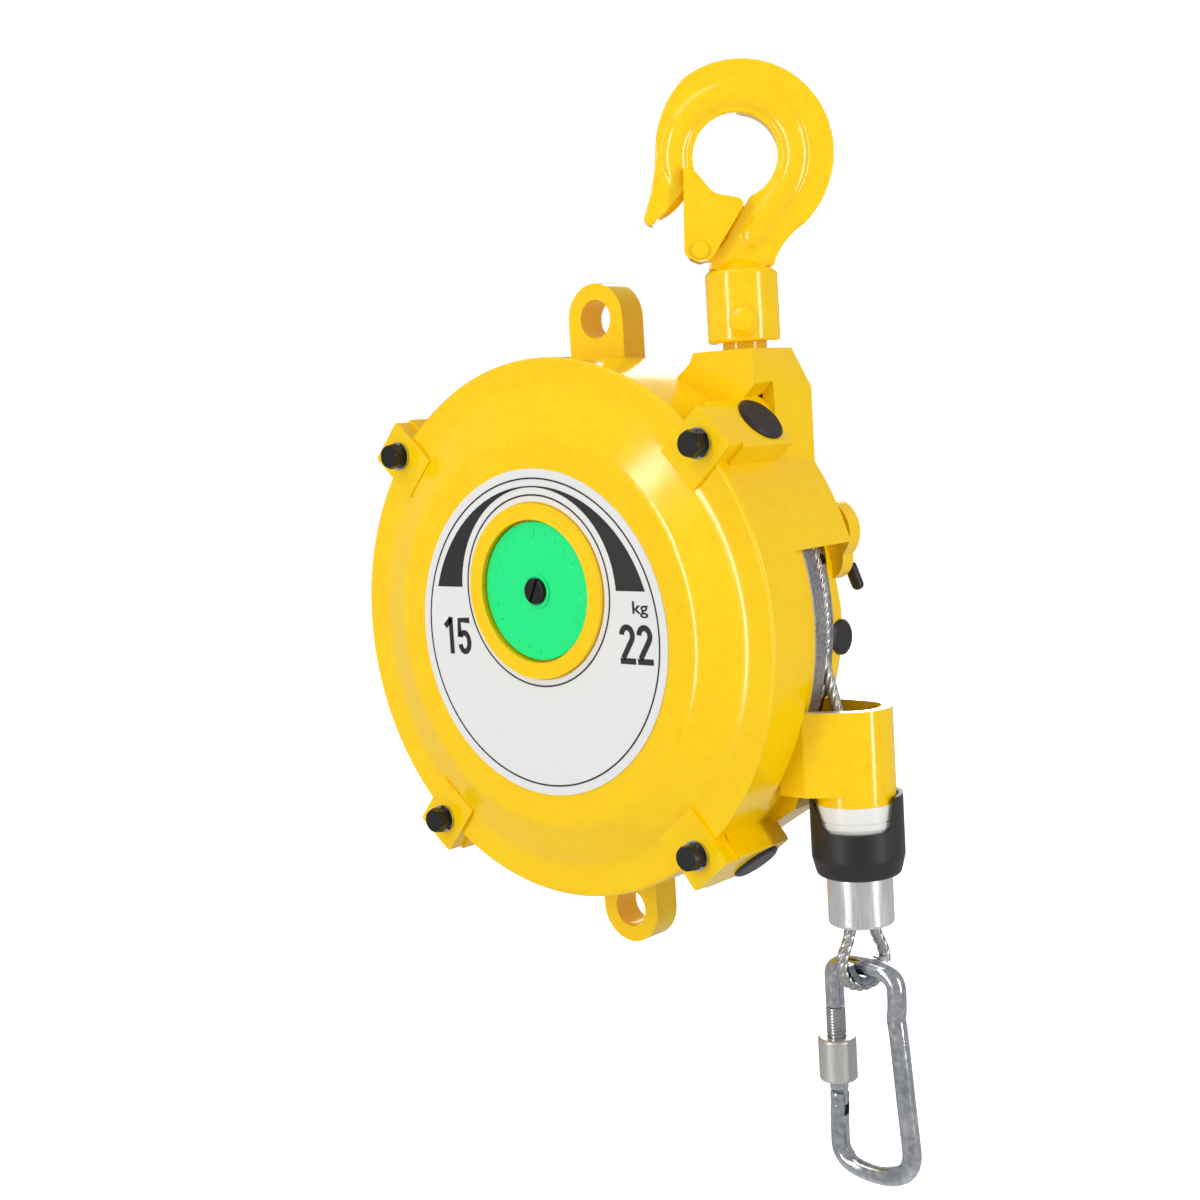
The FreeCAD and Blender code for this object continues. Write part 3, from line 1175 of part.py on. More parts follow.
def lock_sleeve():
    """Screw sleeve on the gate."""
    z1 = SLEEVE_TOP_Z
    z0 = z1 - SLEEVE_LENGTH
    bore = SNAP_R + 0.15
    sleeve = turned([(bore, z0), (SLEEVE_R, z0, 1.2), (SLEEVE_R, z1, 1.2), (bore, z1)], Z_AXIS)
    return moved(sleeve, SNAP_LEFT, 0, 0)


# ---------------------------------------------------------------- assembly
def washer_seat():
    """Front plane of the bolt blocks."""
    return FACE_Y - BLOCK_PROUD


def nodes():
    """Every node by name, in the part frame."""
    seat = washer_seat()
    in_drum = {
        "main_case": main_case(), "front_cover": front_cover(), "label_plate": label_plate(),
        "cover_bolts": cover_bolts(), "plain_washers": ring_at_bolts(WASHER_R, seat - WASHER_T, seat),
        "spring_washers": ring_at_bolts(SPRING_WASHER_R, seat - WASHER_T - SPRING_WASHER_T, seat - WASHER_T),
        "side_plugs": side_plugs(), "rear_plug": rear_plug(), "front_bush": front_bush(), "rear_bush": rear_bush(),
        "worm_bushes": worm_bushes(), "lock_pin": lock_pin(), "lock_pin_grip": lock_grip(),
        "indicator_disc": indicator_disc(), "disc_screw": disc_screw(), "dial_spindle": dial_spindle(),
        "main_shaft": main_shaft(), "worm_wheel": worm_wheel(), "adjusting_worm": worm_shaft_solid(),
        "rope_drum": drum(), "rope_on_drum": rope_on_drum(), "spring_lid": spring_lid(),
        "power_spring": power_spring(), "drum_bushes": drum_bushes(), "rope_lead": rope_lead(),
    }
    on_cable = {
        "rope_guide": rope_guide(), "rope_run": rope_run(), "rubber_buffer": rubber_buffer(),
        "rope_clamp": rope_clamp(), "rope_eye": rope_eye(), "thimble": thimble(), "snap_hook": snap_hook(),
        "snap_gate": snap_gate(), "gate_rivet": gate_rivet(), "lock_sleeve": lock_sleeve(),
    }
    on_hook = {
        "top_hook": hook(), "hook_collar": hook_collar(), "collar_rivet": collar_rivet(),
        "swivel_stud": swivel_stud(), "hook_latch": hook_latch(), "latch_rivet": latch_rivet(),
        "latch_spring": latch_spring(),
    }
    made = {name: from_drum(shape) for name, shape in in_drum.items()}
    made.update({name: from_cable(shape) for name, shape in on_cable.items()})
    made.update({name: from_hook(shape) for name, shape in on_hook.items()})
    made.update({"thrust_washer": thrust_washer(), "stud_nut": stud_nut(), "swivel_bush": swivel_bush()})
    return made


def main():
    """Write one STEP file per node."""
    os.makedirs("parts", exist_ok=True)
    for name, shape in nodes().items():
        shape.exportStep("parts/" + name + ".step")
        print(name, shape.isValid(), len(shape.Solids), round(shape.Volume))


main()
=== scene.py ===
"""Tool balancer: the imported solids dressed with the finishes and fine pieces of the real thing."""

import logging
import math
from collections.abc import Callable
from dataclasses import dataclass
from enum import Enum

import bpy
from mathutils import Matrix, Vector


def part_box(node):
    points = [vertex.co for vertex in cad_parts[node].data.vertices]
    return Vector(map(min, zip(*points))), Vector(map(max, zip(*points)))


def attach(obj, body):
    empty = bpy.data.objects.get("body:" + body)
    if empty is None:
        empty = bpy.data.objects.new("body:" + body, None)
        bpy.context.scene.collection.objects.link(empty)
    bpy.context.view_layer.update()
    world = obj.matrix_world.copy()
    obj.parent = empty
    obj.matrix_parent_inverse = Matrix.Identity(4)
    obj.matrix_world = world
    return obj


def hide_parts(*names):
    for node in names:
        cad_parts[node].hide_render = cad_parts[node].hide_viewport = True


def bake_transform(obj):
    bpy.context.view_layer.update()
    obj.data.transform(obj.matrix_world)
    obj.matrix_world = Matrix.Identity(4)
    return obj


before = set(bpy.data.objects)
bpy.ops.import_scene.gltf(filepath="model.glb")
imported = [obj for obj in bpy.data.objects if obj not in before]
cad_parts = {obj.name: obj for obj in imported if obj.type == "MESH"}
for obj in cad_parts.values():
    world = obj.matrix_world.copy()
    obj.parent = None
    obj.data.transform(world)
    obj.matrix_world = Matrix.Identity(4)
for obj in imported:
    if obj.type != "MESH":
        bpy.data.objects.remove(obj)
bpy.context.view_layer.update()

MM = 0.001
WELD = 0.002 * MM
FACING_FRONT = (math.pi / 2, 0, 0)
FRONT = Vector((0.0, -1.0, 0.0))
DRUM_AXIS = Vector((-75.0, 0.0, -209.0)) * MM
DIAL_RISE = 18.0
DIAL_MIDDLE = DRUM_AXIS + Vector((0.0, 0.0, DIAL_RISE)) * MM
CABLE_X = 44.0 * MM
log = logging.getLogger("balancer")


class Body(str, Enum):
    """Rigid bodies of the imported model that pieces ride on, and the rope that joins two of them."""

    HOOK = "hook"
    CASING = "casing"
    DIAL = "dial"
    DRUM = "drum"
    LOAD_END = "load_end"
    SNAP = "snap"
    GATE = "gate"
    BETWEEN = "two bodies"


# ---------------------------------------------------------------- small tools
def linear(hex_colour: str) -> tuple[float, float, float, float]:
    """Turn an sRGB hex colour into linear values.

    Args:
        hex_colour: Six hex digits, with or without a leading hash.

    Returns:
        Linear red, green and blue, and an alpha of one.
    """
    digits = hex_colour.lstrip("#")
    values = [int(digits[i:i + 2], 16) / 255 for i in (0, 2, 4)]
    red, green, blue = [v / 12.92 if v <= 0.04045 else ((v + 0.055) / 1.055) ** 2.4 for v in values]
    return red, green, blue, 1.0


def put(tree: bpy.types.NodeTree, kind: str, inputs: dict | None = None, **settings) -> bpy.types.Node:
    """Add one node with its settings, values and links.

    Args:
        tree: Node tree that gets the node.
        kind: Blender's identifier of the node.
        inputs: Socket name or index to a value, or to an output socket to link.
        **settings: Attributes of the node.

    Returns:
        The new node.
    """
    node = tree.nodes.new(kind)
    for name, value in settings.items():
        setattr(node, name, value)
    for socket, value in (inputs or {}).items():
        if isinstance(value, bpy.types.NodeSocket):
            tree.links.new(value, node.inputs[socket])
        else:
            node.inputs[socket].default_value = value
    return node


def add_object(name: str, data: bpy.types.ID) -> bpy.types.Object:
    """Add an object to the scene.

    Args:
        name: Name of the object.
        data: Mesh, curve, lamp or camera that it shows.

    Returns:
        The object, at the origin.
    """
    item = bpy.data.objects.new(name, data)
    bpy.context.scene.collection.objects.link(item)
    return item


def add_spline(curve: bpy.types.Curve, kind: str, places: list[Vector]) -> bpy.types.Spline:
    """Add a spline to a curve.

    Args:
        curve: Curve that gets the spline.
        kind: POLY, or NURBS for a smooth one that starts and ends at its end points.
        places: Its points in metres.

    Returns:
        The new spline.
    """
    spline = curve.splines.new(kind)
    spline.points.add(len(places) - 1)
    for point, place in zip(spline.points, places):
        point.co = (*place, 1)
    if kind == "NURBS":
        spline.order_u = 3
        spline.use_endpoint_u = True
    return spline


def select_only(*objects: bpy.types.Object) -> None:
    """Select these objects and nothing else.

    Args:
        *objects: Objects to select; the first one becomes the active one.
    """
    bpy.ops.object.select_all(action="DESELECT")
    for item in objects:
        item.select_set(True)
    bpy.context.view_layer.objects.active = objects[0]


def settle(piece: bpy.types.Object) -> None:
    """Move a piece's place into its mesh, so that its object sits at the origin."""
    select_only(piece)
    bpy.ops.object.transform_apply(location=True, rotation=True, scale=True)


def apply_modifier(piece: bpy.types.Object, kind: str, **settings) -> None:
    """Give a piece a modifier and apply it.

    Args:
        piece: Object that is changed.
        kind: Blender's identifier of the modifier.
        **settings: Attributes of the modifier.
    """
    select_only(piece)
    modifier = piece.modifiers.new(kind.title(), kind)
    for name, value in settings.items():
        setattr(modifier, name, value)
    bpy.ops.object.modifier_apply(modifier=modifier.name)


def mesh_from(name: str, curve: bpy.types.Curve) -> bpy.types.Object:
    """Turn a swept curve into a mesh piece with its seams merged.

    Args:
        name: Name of the piece.
        curve: Curve with a section.

    Returns:
        The piece.
    """
    piece = add_object(name, curve)
    select_only(piece)
    bpy.ops.object.convert(target="MESH")
    bpy.ops.object.mode_set(mode="EDIT")
    bpy.ops.mesh.select_all(action="SELECT")
    bpy.ops.mesh.remove_doubles(threshold=WELD)
    bpy.ops.mesh.normals_make_consistent(inside=False)
    bpy.ops.object.mode_set(mode="OBJECT")
    return piece


def copy_of(node: str, name: str) -> bpy.types.Object:
    """Copy a CAD node as a piece of its own, with its loose triangles merged.

    Args:
        node: Name of the CAD node.
        name: Name of the piece.

    Returns:
        The piece, at the origin.
    """
    piece = add_object(name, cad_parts[node].data.copy())
    piece.data.name = name
    select_only(piece)
    bpy.ops.object.mode_set(mode="EDIT")
    bpy.ops.mesh.select_all(action="SELECT")
    bpy.ops.mesh.customdata_custom_splitnormals_clear()
    bpy.ops.mesh.remove_doubles(threshold=WELD)
    bpy.ops.object.mode_set(mode="OBJECT")
    return piece


def pick_faces(piece: bpy.types.Object, wanted: Callable[[bpy.types.MeshPolygon], bool]) -> None:
    """Enter edit mode with only the wanted faces selected.

    Args:
        piece: Mesh object.
        wanted: Says for a face whether it is selected.
    """
    select_only(piece)
    bpy.ops.object.mode_set(mode="EDIT")
    bpy.ops.mesh.select_mode(type="FACE")
    bpy.ops.mesh.select_all(action="DESELECT")
    bpy.ops.object.mode_set(mode="OBJECT")
    for face in piece.data.polygons:
        face.select = wanted(face)
    bpy.ops.object.mode_set(mode="EDIT")


def thicken(reach: Vector) -> None:
    """Give the flat mesh in edit mode a thickness, and leave edit mode with vertices as the pick.

    Args:
        reach: How far its copy stands off, in metres.
    """
    bpy.ops.mesh.select_all(action="SELECT")
    bpy.ops.mesh.extrude_region_move(TRANSFORM_OT_translate={"value": reach})
    bpy.ops.mesh.select_all(action="SELECT")
    bpy.ops.mesh.remove_doubles(threshold=WELD / 2)
    bpy.ops.mesh.normals_make_consistent(inside=False)
    bpy.ops.mesh.select_mode(type="VERT")
    bpy.ops.object.mode_set(mode="OBJECT")


def finish_piece(piece: bpy.types.Object, finish: "Finish", body: Body, *nodes: str,
                 angle: float = 30.0) -> None:
    """Dress a piece, shade it, and hang it on its body.

    Args:
        piece: Finished mesh object.
        finish: Finish that it gets.
        body: Body that it rides on; a piece between two bodies rides on neither.
        *nodes: CAD nodes that it stands for.
        angle: Faces that meet below this angle, in degrees, are shaded smooth together.
    """
    settle(piece)
    select_only(piece)
    bpy.ops.object.shade_smooth_by_angle(angle=math.radians(angle))
    piece.data.materials.clear()
    piece.data.materials.append(finish.build())
    if body is not Body.BETWEEN:
        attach(piece, body.value)
    if nodes:
        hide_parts(*nodes)
    faces = len(piece.data.polygons)
    log.info("%s rides on %s, %d faces, %s", piece.name, body.value, faces, finish.name)


# ---------------------------------------------------------------- finishes
class Grain(Enum):
    """How the fine pattern of a surface runs: its scale along each axis."""

    EVEN = (1.0, 1.0, 1.0)
    ALONG_Y = (1.0, 0.04, 1.0)
    ALONG_Z = (1.0, 1.0, 0.04)


@dataclass(frozen=True)
class Finish:
    """A real material and how its surface was made.

    The fine grain has a size and a relief in millimetres, and broad patches share in the pattern.
    Its low values take the tone and its high ones the colour. The roughness spreads about its middle.
    """

    name: str
    slot: str
    colour: str
    tone: str
    grain_mm: float
    relief_mm: float
    roughness: float
    rough_spread: float = 0.06
    metallic: float = 0.0
    ior: float = 1.5
    patch_mm: float = 26.0
    patch: float = 0.35
    grain: Grain = Grain.EVEN
    tone_below: float = 0.36
    colour_above: float = 0.62
    rough_from: float = 0.3
    rough_to: float = 0.7

    def fine(self, tree: bpy.types.NodeTree, place: bpy.types.NodeSocket) -> bpy.types.NodeSocket:
        """Make the fine pattern of the surface.

        Args:
            tree: The material's node tree.
            place: Object coordinates in metres.

        Returns:
            A value from 0 to 1.
        """
        density = 1 / (self.grain_mm * MM)
        place = put(tree, "ShaderNodeMapping", {"Vector": place, "Scale": self.grain.value}).outputs["Vector"]
        noise = put(tree, "ShaderNodeTexNoise", {"Vector": place, "Scale": density, "Detail": 3.0})
        return noise.outputs["Fac"]

    def build(self) -> bpy.types.Material:
        """Make the material, or find it if it was made before.

        Returns:
            The material.
        """
        made = bpy.data.materials.get(self.name)
        if made:
            return made
        material = bpy.data.materials.new(self.name)
        material.use_nodes = True
        tree = material.node_tree
        tree.nodes.clear()
        place = put(tree, "ShaderNodeTexCoord").outputs["Object"]
        fine = self.fine(tree, place)
        density = 1 / (self.patch_mm * MM)
        broad = put(tree, "ShaderNodeTexNoise", {"Vector": place, "Scale": density, "Detail": 4.0})
        share = put(tree, "ShaderNodeMath", {0: broad.outputs["Fac"], 1: self.patch}, operation="MULTIPLY")
        level = put(tree, "ShaderNodeMath", {0: fine, 1: 1 - self.patch, 2: share.outputs[0]},
                    operation="MULTIPLY_ADD").outputs[0]
        ramp = put(tree, "ShaderNodeValToRGB", {"Fac": level})
        ramp.color_ramp.elements[0].position = self.tone_below
        ramp.color_ramp.elements[0].color = linear(self.tone)
        ramp.color_ramp.elements[1].position = self.colour_above
        ramp.color_ramp.elements[1].color = linear(self.colour)
        rough = put(tree, "ShaderNodeMapRange", {
            "Value": level, "From Min": self.rough_from, "From Max": self.rough_to,
            "To Min": self.roughness - self.rough_spread, "To Max": self.roughness + self.rough_spread})
        bump = put(tree, "ShaderNodeBump", {"Height": fine, "Strength": 1.0, "Distance": self.relief_mm * MM})
        shader = put(tree, "ShaderNodeBsdfPrincipled", {
            "Base Color": ramp.outputs["Color"], "Roughness": rough.outputs["Result"],
            "Normal": bump.outputs["Normal"], "Metallic": self.metallic, "IOR": self.ior})
        put(tree, "ShaderNodeOutputMaterial", {"Surface": shader.outputs["BSDF"]})
        return material


# Sprayed gloss enamel on a casting: deep, wet-looking yellow with a very faint orange peel.
ENAMEL = Finish("aluminium_casting_yellow_gloss_enamel", "yellow_casting",
                "#FFD400", "#FFCC00", 4.5, 0.006, 0.16, 0.03)
# The same enamel over forged and pressed steel, a little fuller at the edges.
STEEL_ENAMEL = Finish("forged_steel_yellow_gloss_enamel", "yellow_steel",
                      "#FFD402", "#FFCB00", 4.0, 0.012, 0.17, 0.03)
# Printed polyester plate: matt, even and a touch grey.
PLATE = Finish("polyester_plate_satin_white", "label",
               "#EAEAE8", "#E6E6E4", 0.5, 0.002, 0.42, 0.03)
# Screen-printed ink: dense and dry.
INK = Finish("screen_ink_black", "label",
             "#1F1818", "#191313", 0.4, 0.002, 0.5, 0.04)
# Black oxide on rolled bolts: dark with a dull oily sheen.
BLACK_OXIDE = Finish("steel_black_oxide", "black_bolt",
                     "#2B2A2A", "#1D1C1C", 0.6, 0.02, 0.36, metallic=0.5)
# Bright zinc plate on steel: pale, slightly cloudy metal.
ZINC = Finish("steel_bright_zinc_plate", "zinc",
              "#D6D9DE", "#A9ADB6", 2.4, 0.004, 0.16, metallic=1.0)
# Tumbled zinc plate: the pale matt skin of the screw sleeve.
ZINC_MATT = Finish("steel_tumbled_zinc_plate", "zinc",
                   "#D6D4D0", "#C4C2BE", 0.8, 0.02, 0.42, metallic=0.85)
# Turned bar: fine rings from the tool.
TURNED = Finish("steel_bar_turned", "bright_steel",
                "#B9B9BB", "#A6A6A9", 0.35, 0.006, 0.3, metallic=1.0)
# Moulded rubber: near black, dull, with a fine bloom.
RUBBER = Finish("nitrile_rubber_moulded", "black_rubber",
                "#272122", "#1D1819", 0.8, 0.02, 0.46, 0.08)
# Sintered bronze: brown gold with open pores.
BRONZE = Finish("sintered_bronze", "bronze",
                "#B08A4A", "#946F35", 0.3, 0.01, 0.4, metallic=1.0)
# Black polyamide grip.
POLYAMIDE = Finish("polyamide_moulded_black", "black_plastic",
                   "#262425", "#1E1C1D", 0.7, 0.01, 0.4)
# Moulded green dial: saturated, satin.
DIAL_GREEN = Finish("acrylic_moulded_green", "disc_green",
                    "#08F288", "#06EC81", 1.4, 0.01, 0.34)
# Die-cast aluminium left bare: grey skin with a grainy flow pattern, its relief drawn coarse to show.
CASTING = Finish("aluminium_die_cast_bare", "aluminium_cast",
                 "#B5B2B3", "#837F80", 1.3, 0.12, 0.42, 0.12, metallic=0.8)
# Pale pinkish-white layer on the tower's top face, with a fine grain.
PALE_TOWER_TOP = Finish("pale_pinkish_tower_top", "aluminium_cast",
                "#E9E2DC", "#D8D0C9", 0.5, 0.01, 0.32, metallic=0.7)
# Galvanised wire: grey, each wire with its own dull line of light.
WIRE = Finish("steel_wire_galvanised", "rope_steel",
              "#CFCECB", "#9C9A97", 0.45, 0.05, 0.34, metallic=0.85)
# Blued spring strip.
STRIP = Finish("spring_strip_blued", "spring_steel",
               "#5A5C66", "#4A4B55", 0.5, 0.005, 0.35, metallic=1.0, grain=Grain.ALONG_Y)
# Turned acetal: milky white with soft edges.
ACETAL = Finish("acetal_turned_white", "white_resin",
                "#F1F0EC", "#EAE9E4", 0.6, 0.005, 0.33)
# Drawn ferrule metal, bright and soft, with lines along its draw.
FERRULE = Finish("aluminium_ferrule_drawn", "clamp_alu",
                 "#F6F4F6", "#DCD9DD", 0.9, 0.012, 0.3, metallic=0.85, grain=Grain.ALONG_Z)

DRESS = {
    ENAMEL: ("main_case", "front_cover"),
    STEEL_ENAMEL: ("top_hook", "hook_collar", "hook_latch", "collar_rivet", "latch_rivet", "swivel_stud"),
    PLATE: ("label_plate",),
    BLACK_OXIDE: ("cover_bolts", "disc_screw", "spring_washers"),
    ZINC: ("plain_washers", "lock_pin", "spring_lid", "thimble", "snap_hook", "snap_gate", "stud_nut"),
    ZINC_MATT: ("lock_sleeve",),
    RUBBER: ("side_plugs", "rear_plug", "rubber_buffer"),
    BRONZE: ("front_bush", "rear_bush", "worm_bushes", "worm_wheel", "drum_bushes", "swivel_bush"),
    POLYAMIDE: ("lock_pin_grip",),
    DIAL_GREEN: ("indicator_disc",),
    TURNED: ("dial_spindle", "main_shaft", "adjusting_worm", "gate_rivet", "thrust_washer"),
    CASTING: ("rope_drum",),
    WIRE: ("rope_on_drum", "rope_lead", "rope_run", "rope_eye"),
    STRIP: ("power_spring", "latch_spring"),
    ACETAL: ("rope_guide",),
    FERRULE: ("rope_clamp",),
}


def dress_nodes() -> None:
    """Give every CAD node the finish of the real part."""
    for finish, names in DRESS.items():
        for name in names:
            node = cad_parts[name]
            node.data.materials.clear()
            node.data.materials.append(finish.build())


# ---------------------------------------------------------------- label
@dataclass
class LabelArt:
    """Print on the cover's plate: two rings, the rising band and plain load figures."""

    centre: Vector
    face_y: float
    ring_r: float = 65.8
    ring_w: float = 0.7
    hole_rise: float = 18.0
    hole_ring_r: float = 40.8
    band_out_r: float = 62.6
    band_in_r: float = 44.4
    band_in_rise: float = 17.6
    band_foot: float = 19.0
    ring_sides: int = 160
    ink_t: float = 0.12
    figure_z: float = -11.0
    figure_w: float = 8.2
    figure_h: float = 16.4
    pen: float = 2.5
    bow_steps: int = 24
    low_figures: tuple[tuple[str, str, float], ...] = (("low_tens", "1", -58.4), ("low_units", "5", -49.4))
    high_figures: tuple[tuple[str, str, float], ...] = (("high_tens", "2", 44.8), ("high_units", "2", 54.0))
    unit_x: tuple[float, float] = (52.6, 60.8)
    unit_z: tuple[float, float] = (8.2, 15.0)
    unit_weight: float = 0.012

    def at(self, x: float, z: float) -> Vector:
        """Point on the plate's face, from millimetres in the plate's plane."""
        return Vector((self.centre.x + x * MM, self.face_y, self.centre.z + z * MM))

    def ring(self, name: str, radius: float, inner: float, rise: float,
             inner_rise: float) -> bpy.types.Object:
        """Start a flat ring, its hole off centre where the rises differ.

        Args:
            name: Name of the piece.
            radius: Outer radius in millimetres.
            inner: Inner radius in millimetres.
            rise: Height of the outer circle's middle above the plate's.
            inner_rise: Height of the hole's middle above the plate's.

        Returns:
            The ring, left in edit mode.
        """
        bpy.ops.object.select_all(action="DESELECT")
        bpy.ops.mesh.primitive_circle_add(vertices=self.ring_sides, radius=radius * MM,
                                          location=self.at(0, rise), rotation=FACING_FRONT)
        piece = bpy.context.object
        piece.name = name
        settle(piece)
        bpy.ops.object.mode_set(mode="EDIT")
        bpy.ops.mesh.select_all(action="SELECT")
        climb = (0, 0, (inner_rise - rise) * MM)
        bpy.ops.mesh.extrude_region_move(TRANSFORM_OT_translate={"value": climb})
        ratio = inner / radius
        bpy.ops.transform.resize(value=(ratio, 1, ratio), center_override=self.at(0, inner_rise))
        return piece

    def bow(self, rise: float, high: float, first: float, last: float) -> list[tuple[float, float]]:
        """Follow an oval bow as wide as the figure.

        Args:
            rise: Height of the oval's middle in millimetres.
            high: Half its height in millimetres.
            first: Angle where the bow starts, in degrees.
            last: Angle where it ends.

        Returns:
            Points in millimetres from the figure's lower left corner.
        """
        steps = self.bow_steps
        turns = [math.radians(first + (last - first) * i / steps) for i in range(steps + 1)]
        middle, wide = self.figure_w / 2, (self.figure_w - self.pen) / 2
        return [(middle + wide * math.cos(a), rise + high * math.sin(a)) for a in turns]

    def strokes(self, digit: str) -> list[list[tuple[float, float]]]:
        """Lay out the middle lines of a condensed figure, in shares of its width, height and pen.

        Args:
            digit: One of 1, 2 and 5.

        Returns:
            Paths in millimetres from the figure's lower left corner.
        """
        wide, high, pen = self.figure_w, self.figure_h, self.pen
        if digit == "1":
            stem = wide * 0.62
            flag = [(stem - 3.6, high * 0.74), (stem + 0.2, high - pen * 0.35)]
            return [[(stem, 0.0), (stem, high)], flag]
        if digit == "2":
            top = self.bow(high * 0.72, high * 0.28 - pen / 2, 175, -32)
            return [top + [(pen * 0.62, pen * 0.95)], [(0.0, pen / 2), (wide, pen / 2)]]
        bowl = self.bow(high * 0.33, high * 0.33 - pen / 2, 140, -165)
        roof = high - pen / 2
        return [[(wide * 0.95, roof), (pen * 0.58, roof), (pen * 0.5, high * 0.46)], bowl]

    def stroke(self, name: str, path: list[tuple[float, float]]) -> bpy.types.Object:
        """Draw a pen stroke by extruding an edge along a path and turning it at each corner.

        Args:
            name: Name of the piece.
            path: Middle line in millimetres in the plate's plane.

        Returns:
            The printed stroke.
        """
        places = [self.at(x, z) for x, z in path]
        bearings = [math.atan2(b.z - a.z, b.x - a.x) for a, b in zip(places, places[1:])]
        bpy.ops.object.select_all(action="DESELECT")
        bpy.ops.mesh.primitive_plane_add(size=self.pen * MM, location=places[0], rotation=FACING_FRONT)
        piece = bpy.context.object
        piece.name = name
        settle(piece)
        bpy.ops.object.mode_set(mode="EDIT")
        bpy.ops.mesh.select_all(action="SELECT")
        bpy.ops.transform.resize(value=(0, 1, 1), center_override=places[0])
        bpy.ops.mesh.remove_doubles(threshold=WELD / 2)
        facing = 0.0
        for i, place in enumerate(places):
            if i:
                reach = place - places[i - 1]
                bpy.ops.mesh.extrude_region_move(TRANSFORM_OT_translate={"value": reach})
            before, after = bearings[max(0, i - 1)], bearings[min(i, len(bearings) - 1)]
            goal = before + math.remainder(after - before, 2 * math.pi) / 2
            turn = math.remainder(goal - facing, 2 * math.pi)
            bpy.ops.transform.rotate(value=turn, orient_axis="Y", center_override=place)
            facing = goal
        thicken(FRONT * self.ink_t * MM)
        return piece

    def unit(self) -> bpy.types.Object:
        """Make the unit as a printed slab that fills its box on the plate.

        Returns:
            The printed piece.
        """
        bpy.ops.object.select_all(action="DESELECT")
        bpy.ops.object.text_add(location=(0, 0, 0))
        piece = bpy.context.object
        piece.name = "print_unit"
        piece.data.body = "kg"
        piece.data.offset = self.unit_weight
        piece.data.resolution_u = 6
        bpy.ops.object.convert(target="MESH")
        low = Vector([min(v.co[i] for v in piece.data.vertices) for i in range(2)])
        high = Vector([max(v.co[i] for v in piece.data.vertices) for i in range(2)])
        left, right = self.unit_x
        foot, head = self.unit_z
        wide, tall = (right - left) / (high.x - low.x), (head - foot) / (high.y - low.y)
        for vertex in piece.data.vertices:
            vertex.co = self.at(left + (vertex.co.x - low.x) * wide, foot + (vertex.co.y - low.y) * tall)
        select_only(piece)
        bpy.ops.object.mode_set(mode="EDIT")
        bpy.ops.mesh.select_all(action="SELECT")
        bpy.ops.mesh.remove_doubles(threshold=WELD / 2)
        thicken(FRONT * self.ink_t * MM)
        return piece

    def build(self) -> None:
        """Make and hang all the print."""
        half = self.ring_w / 2
        rings = (("print_outer_ring", self.ring_r, 0.0),
                 ("print_hole_ring", self.hole_ring_r, self.hole_rise))
        for name, radius, rise in rings:
            ring = self.ring(name, radius + half, radius - half, rise, rise)
            thicken(FRONT * self.ink_t * MM)
            finish_piece(ring, INK, Body.CASING)
        band = self.ring("print_rising_band", self.band_out_r, self.band_in_r, 0.0, self.band_in_rise)
        bpy.ops.mesh.select_all(action="SELECT")
        bpy.ops.mesh.bisect(plane_co=self.at(0, self.band_foot), plane_no=(0, 0, -1),
                            clear_outer=True)
        thicken(FRONT * self.ink_t * MM)
        finish_piece(band, INK, Body.CASING)
        for place, digit, left in self.low_figures + self.high_figures:
            for i, path in enumerate(self.strokes(digit)):
                shifted = [(left + x, self.figure_z + z) for x, z in path]
                finish_piece(self.stroke(f"print_{place}_{i}", shifted), INK, Body.CASING)
        finish_piece(self.unit(), INK, Body.CASING)


# ---------------------------------------------------------------- forged hook
@dataclass
class ForgedHook:
    """Top hook with the soft edges of a drop forging."""

    voxel: float = 0.6
    rounds: int = 5
    softness: float = 0.5

    def build(self) -> None:
        """Round a copy of the hook's solid and hang it."""
        hook = copy_of("top_hook", "forged_hook")
        apply_modifier(hook, "REMESH", mode="VOXEL", voxel_size=self.voxel * MM)
        apply_modifier(hook, "SMOOTH", factor=self.softness, iterations=self.rounds)
        finish_piece(hook, STEEL_ENAMEL, Body.HOOK, "top_hook", angle=60)


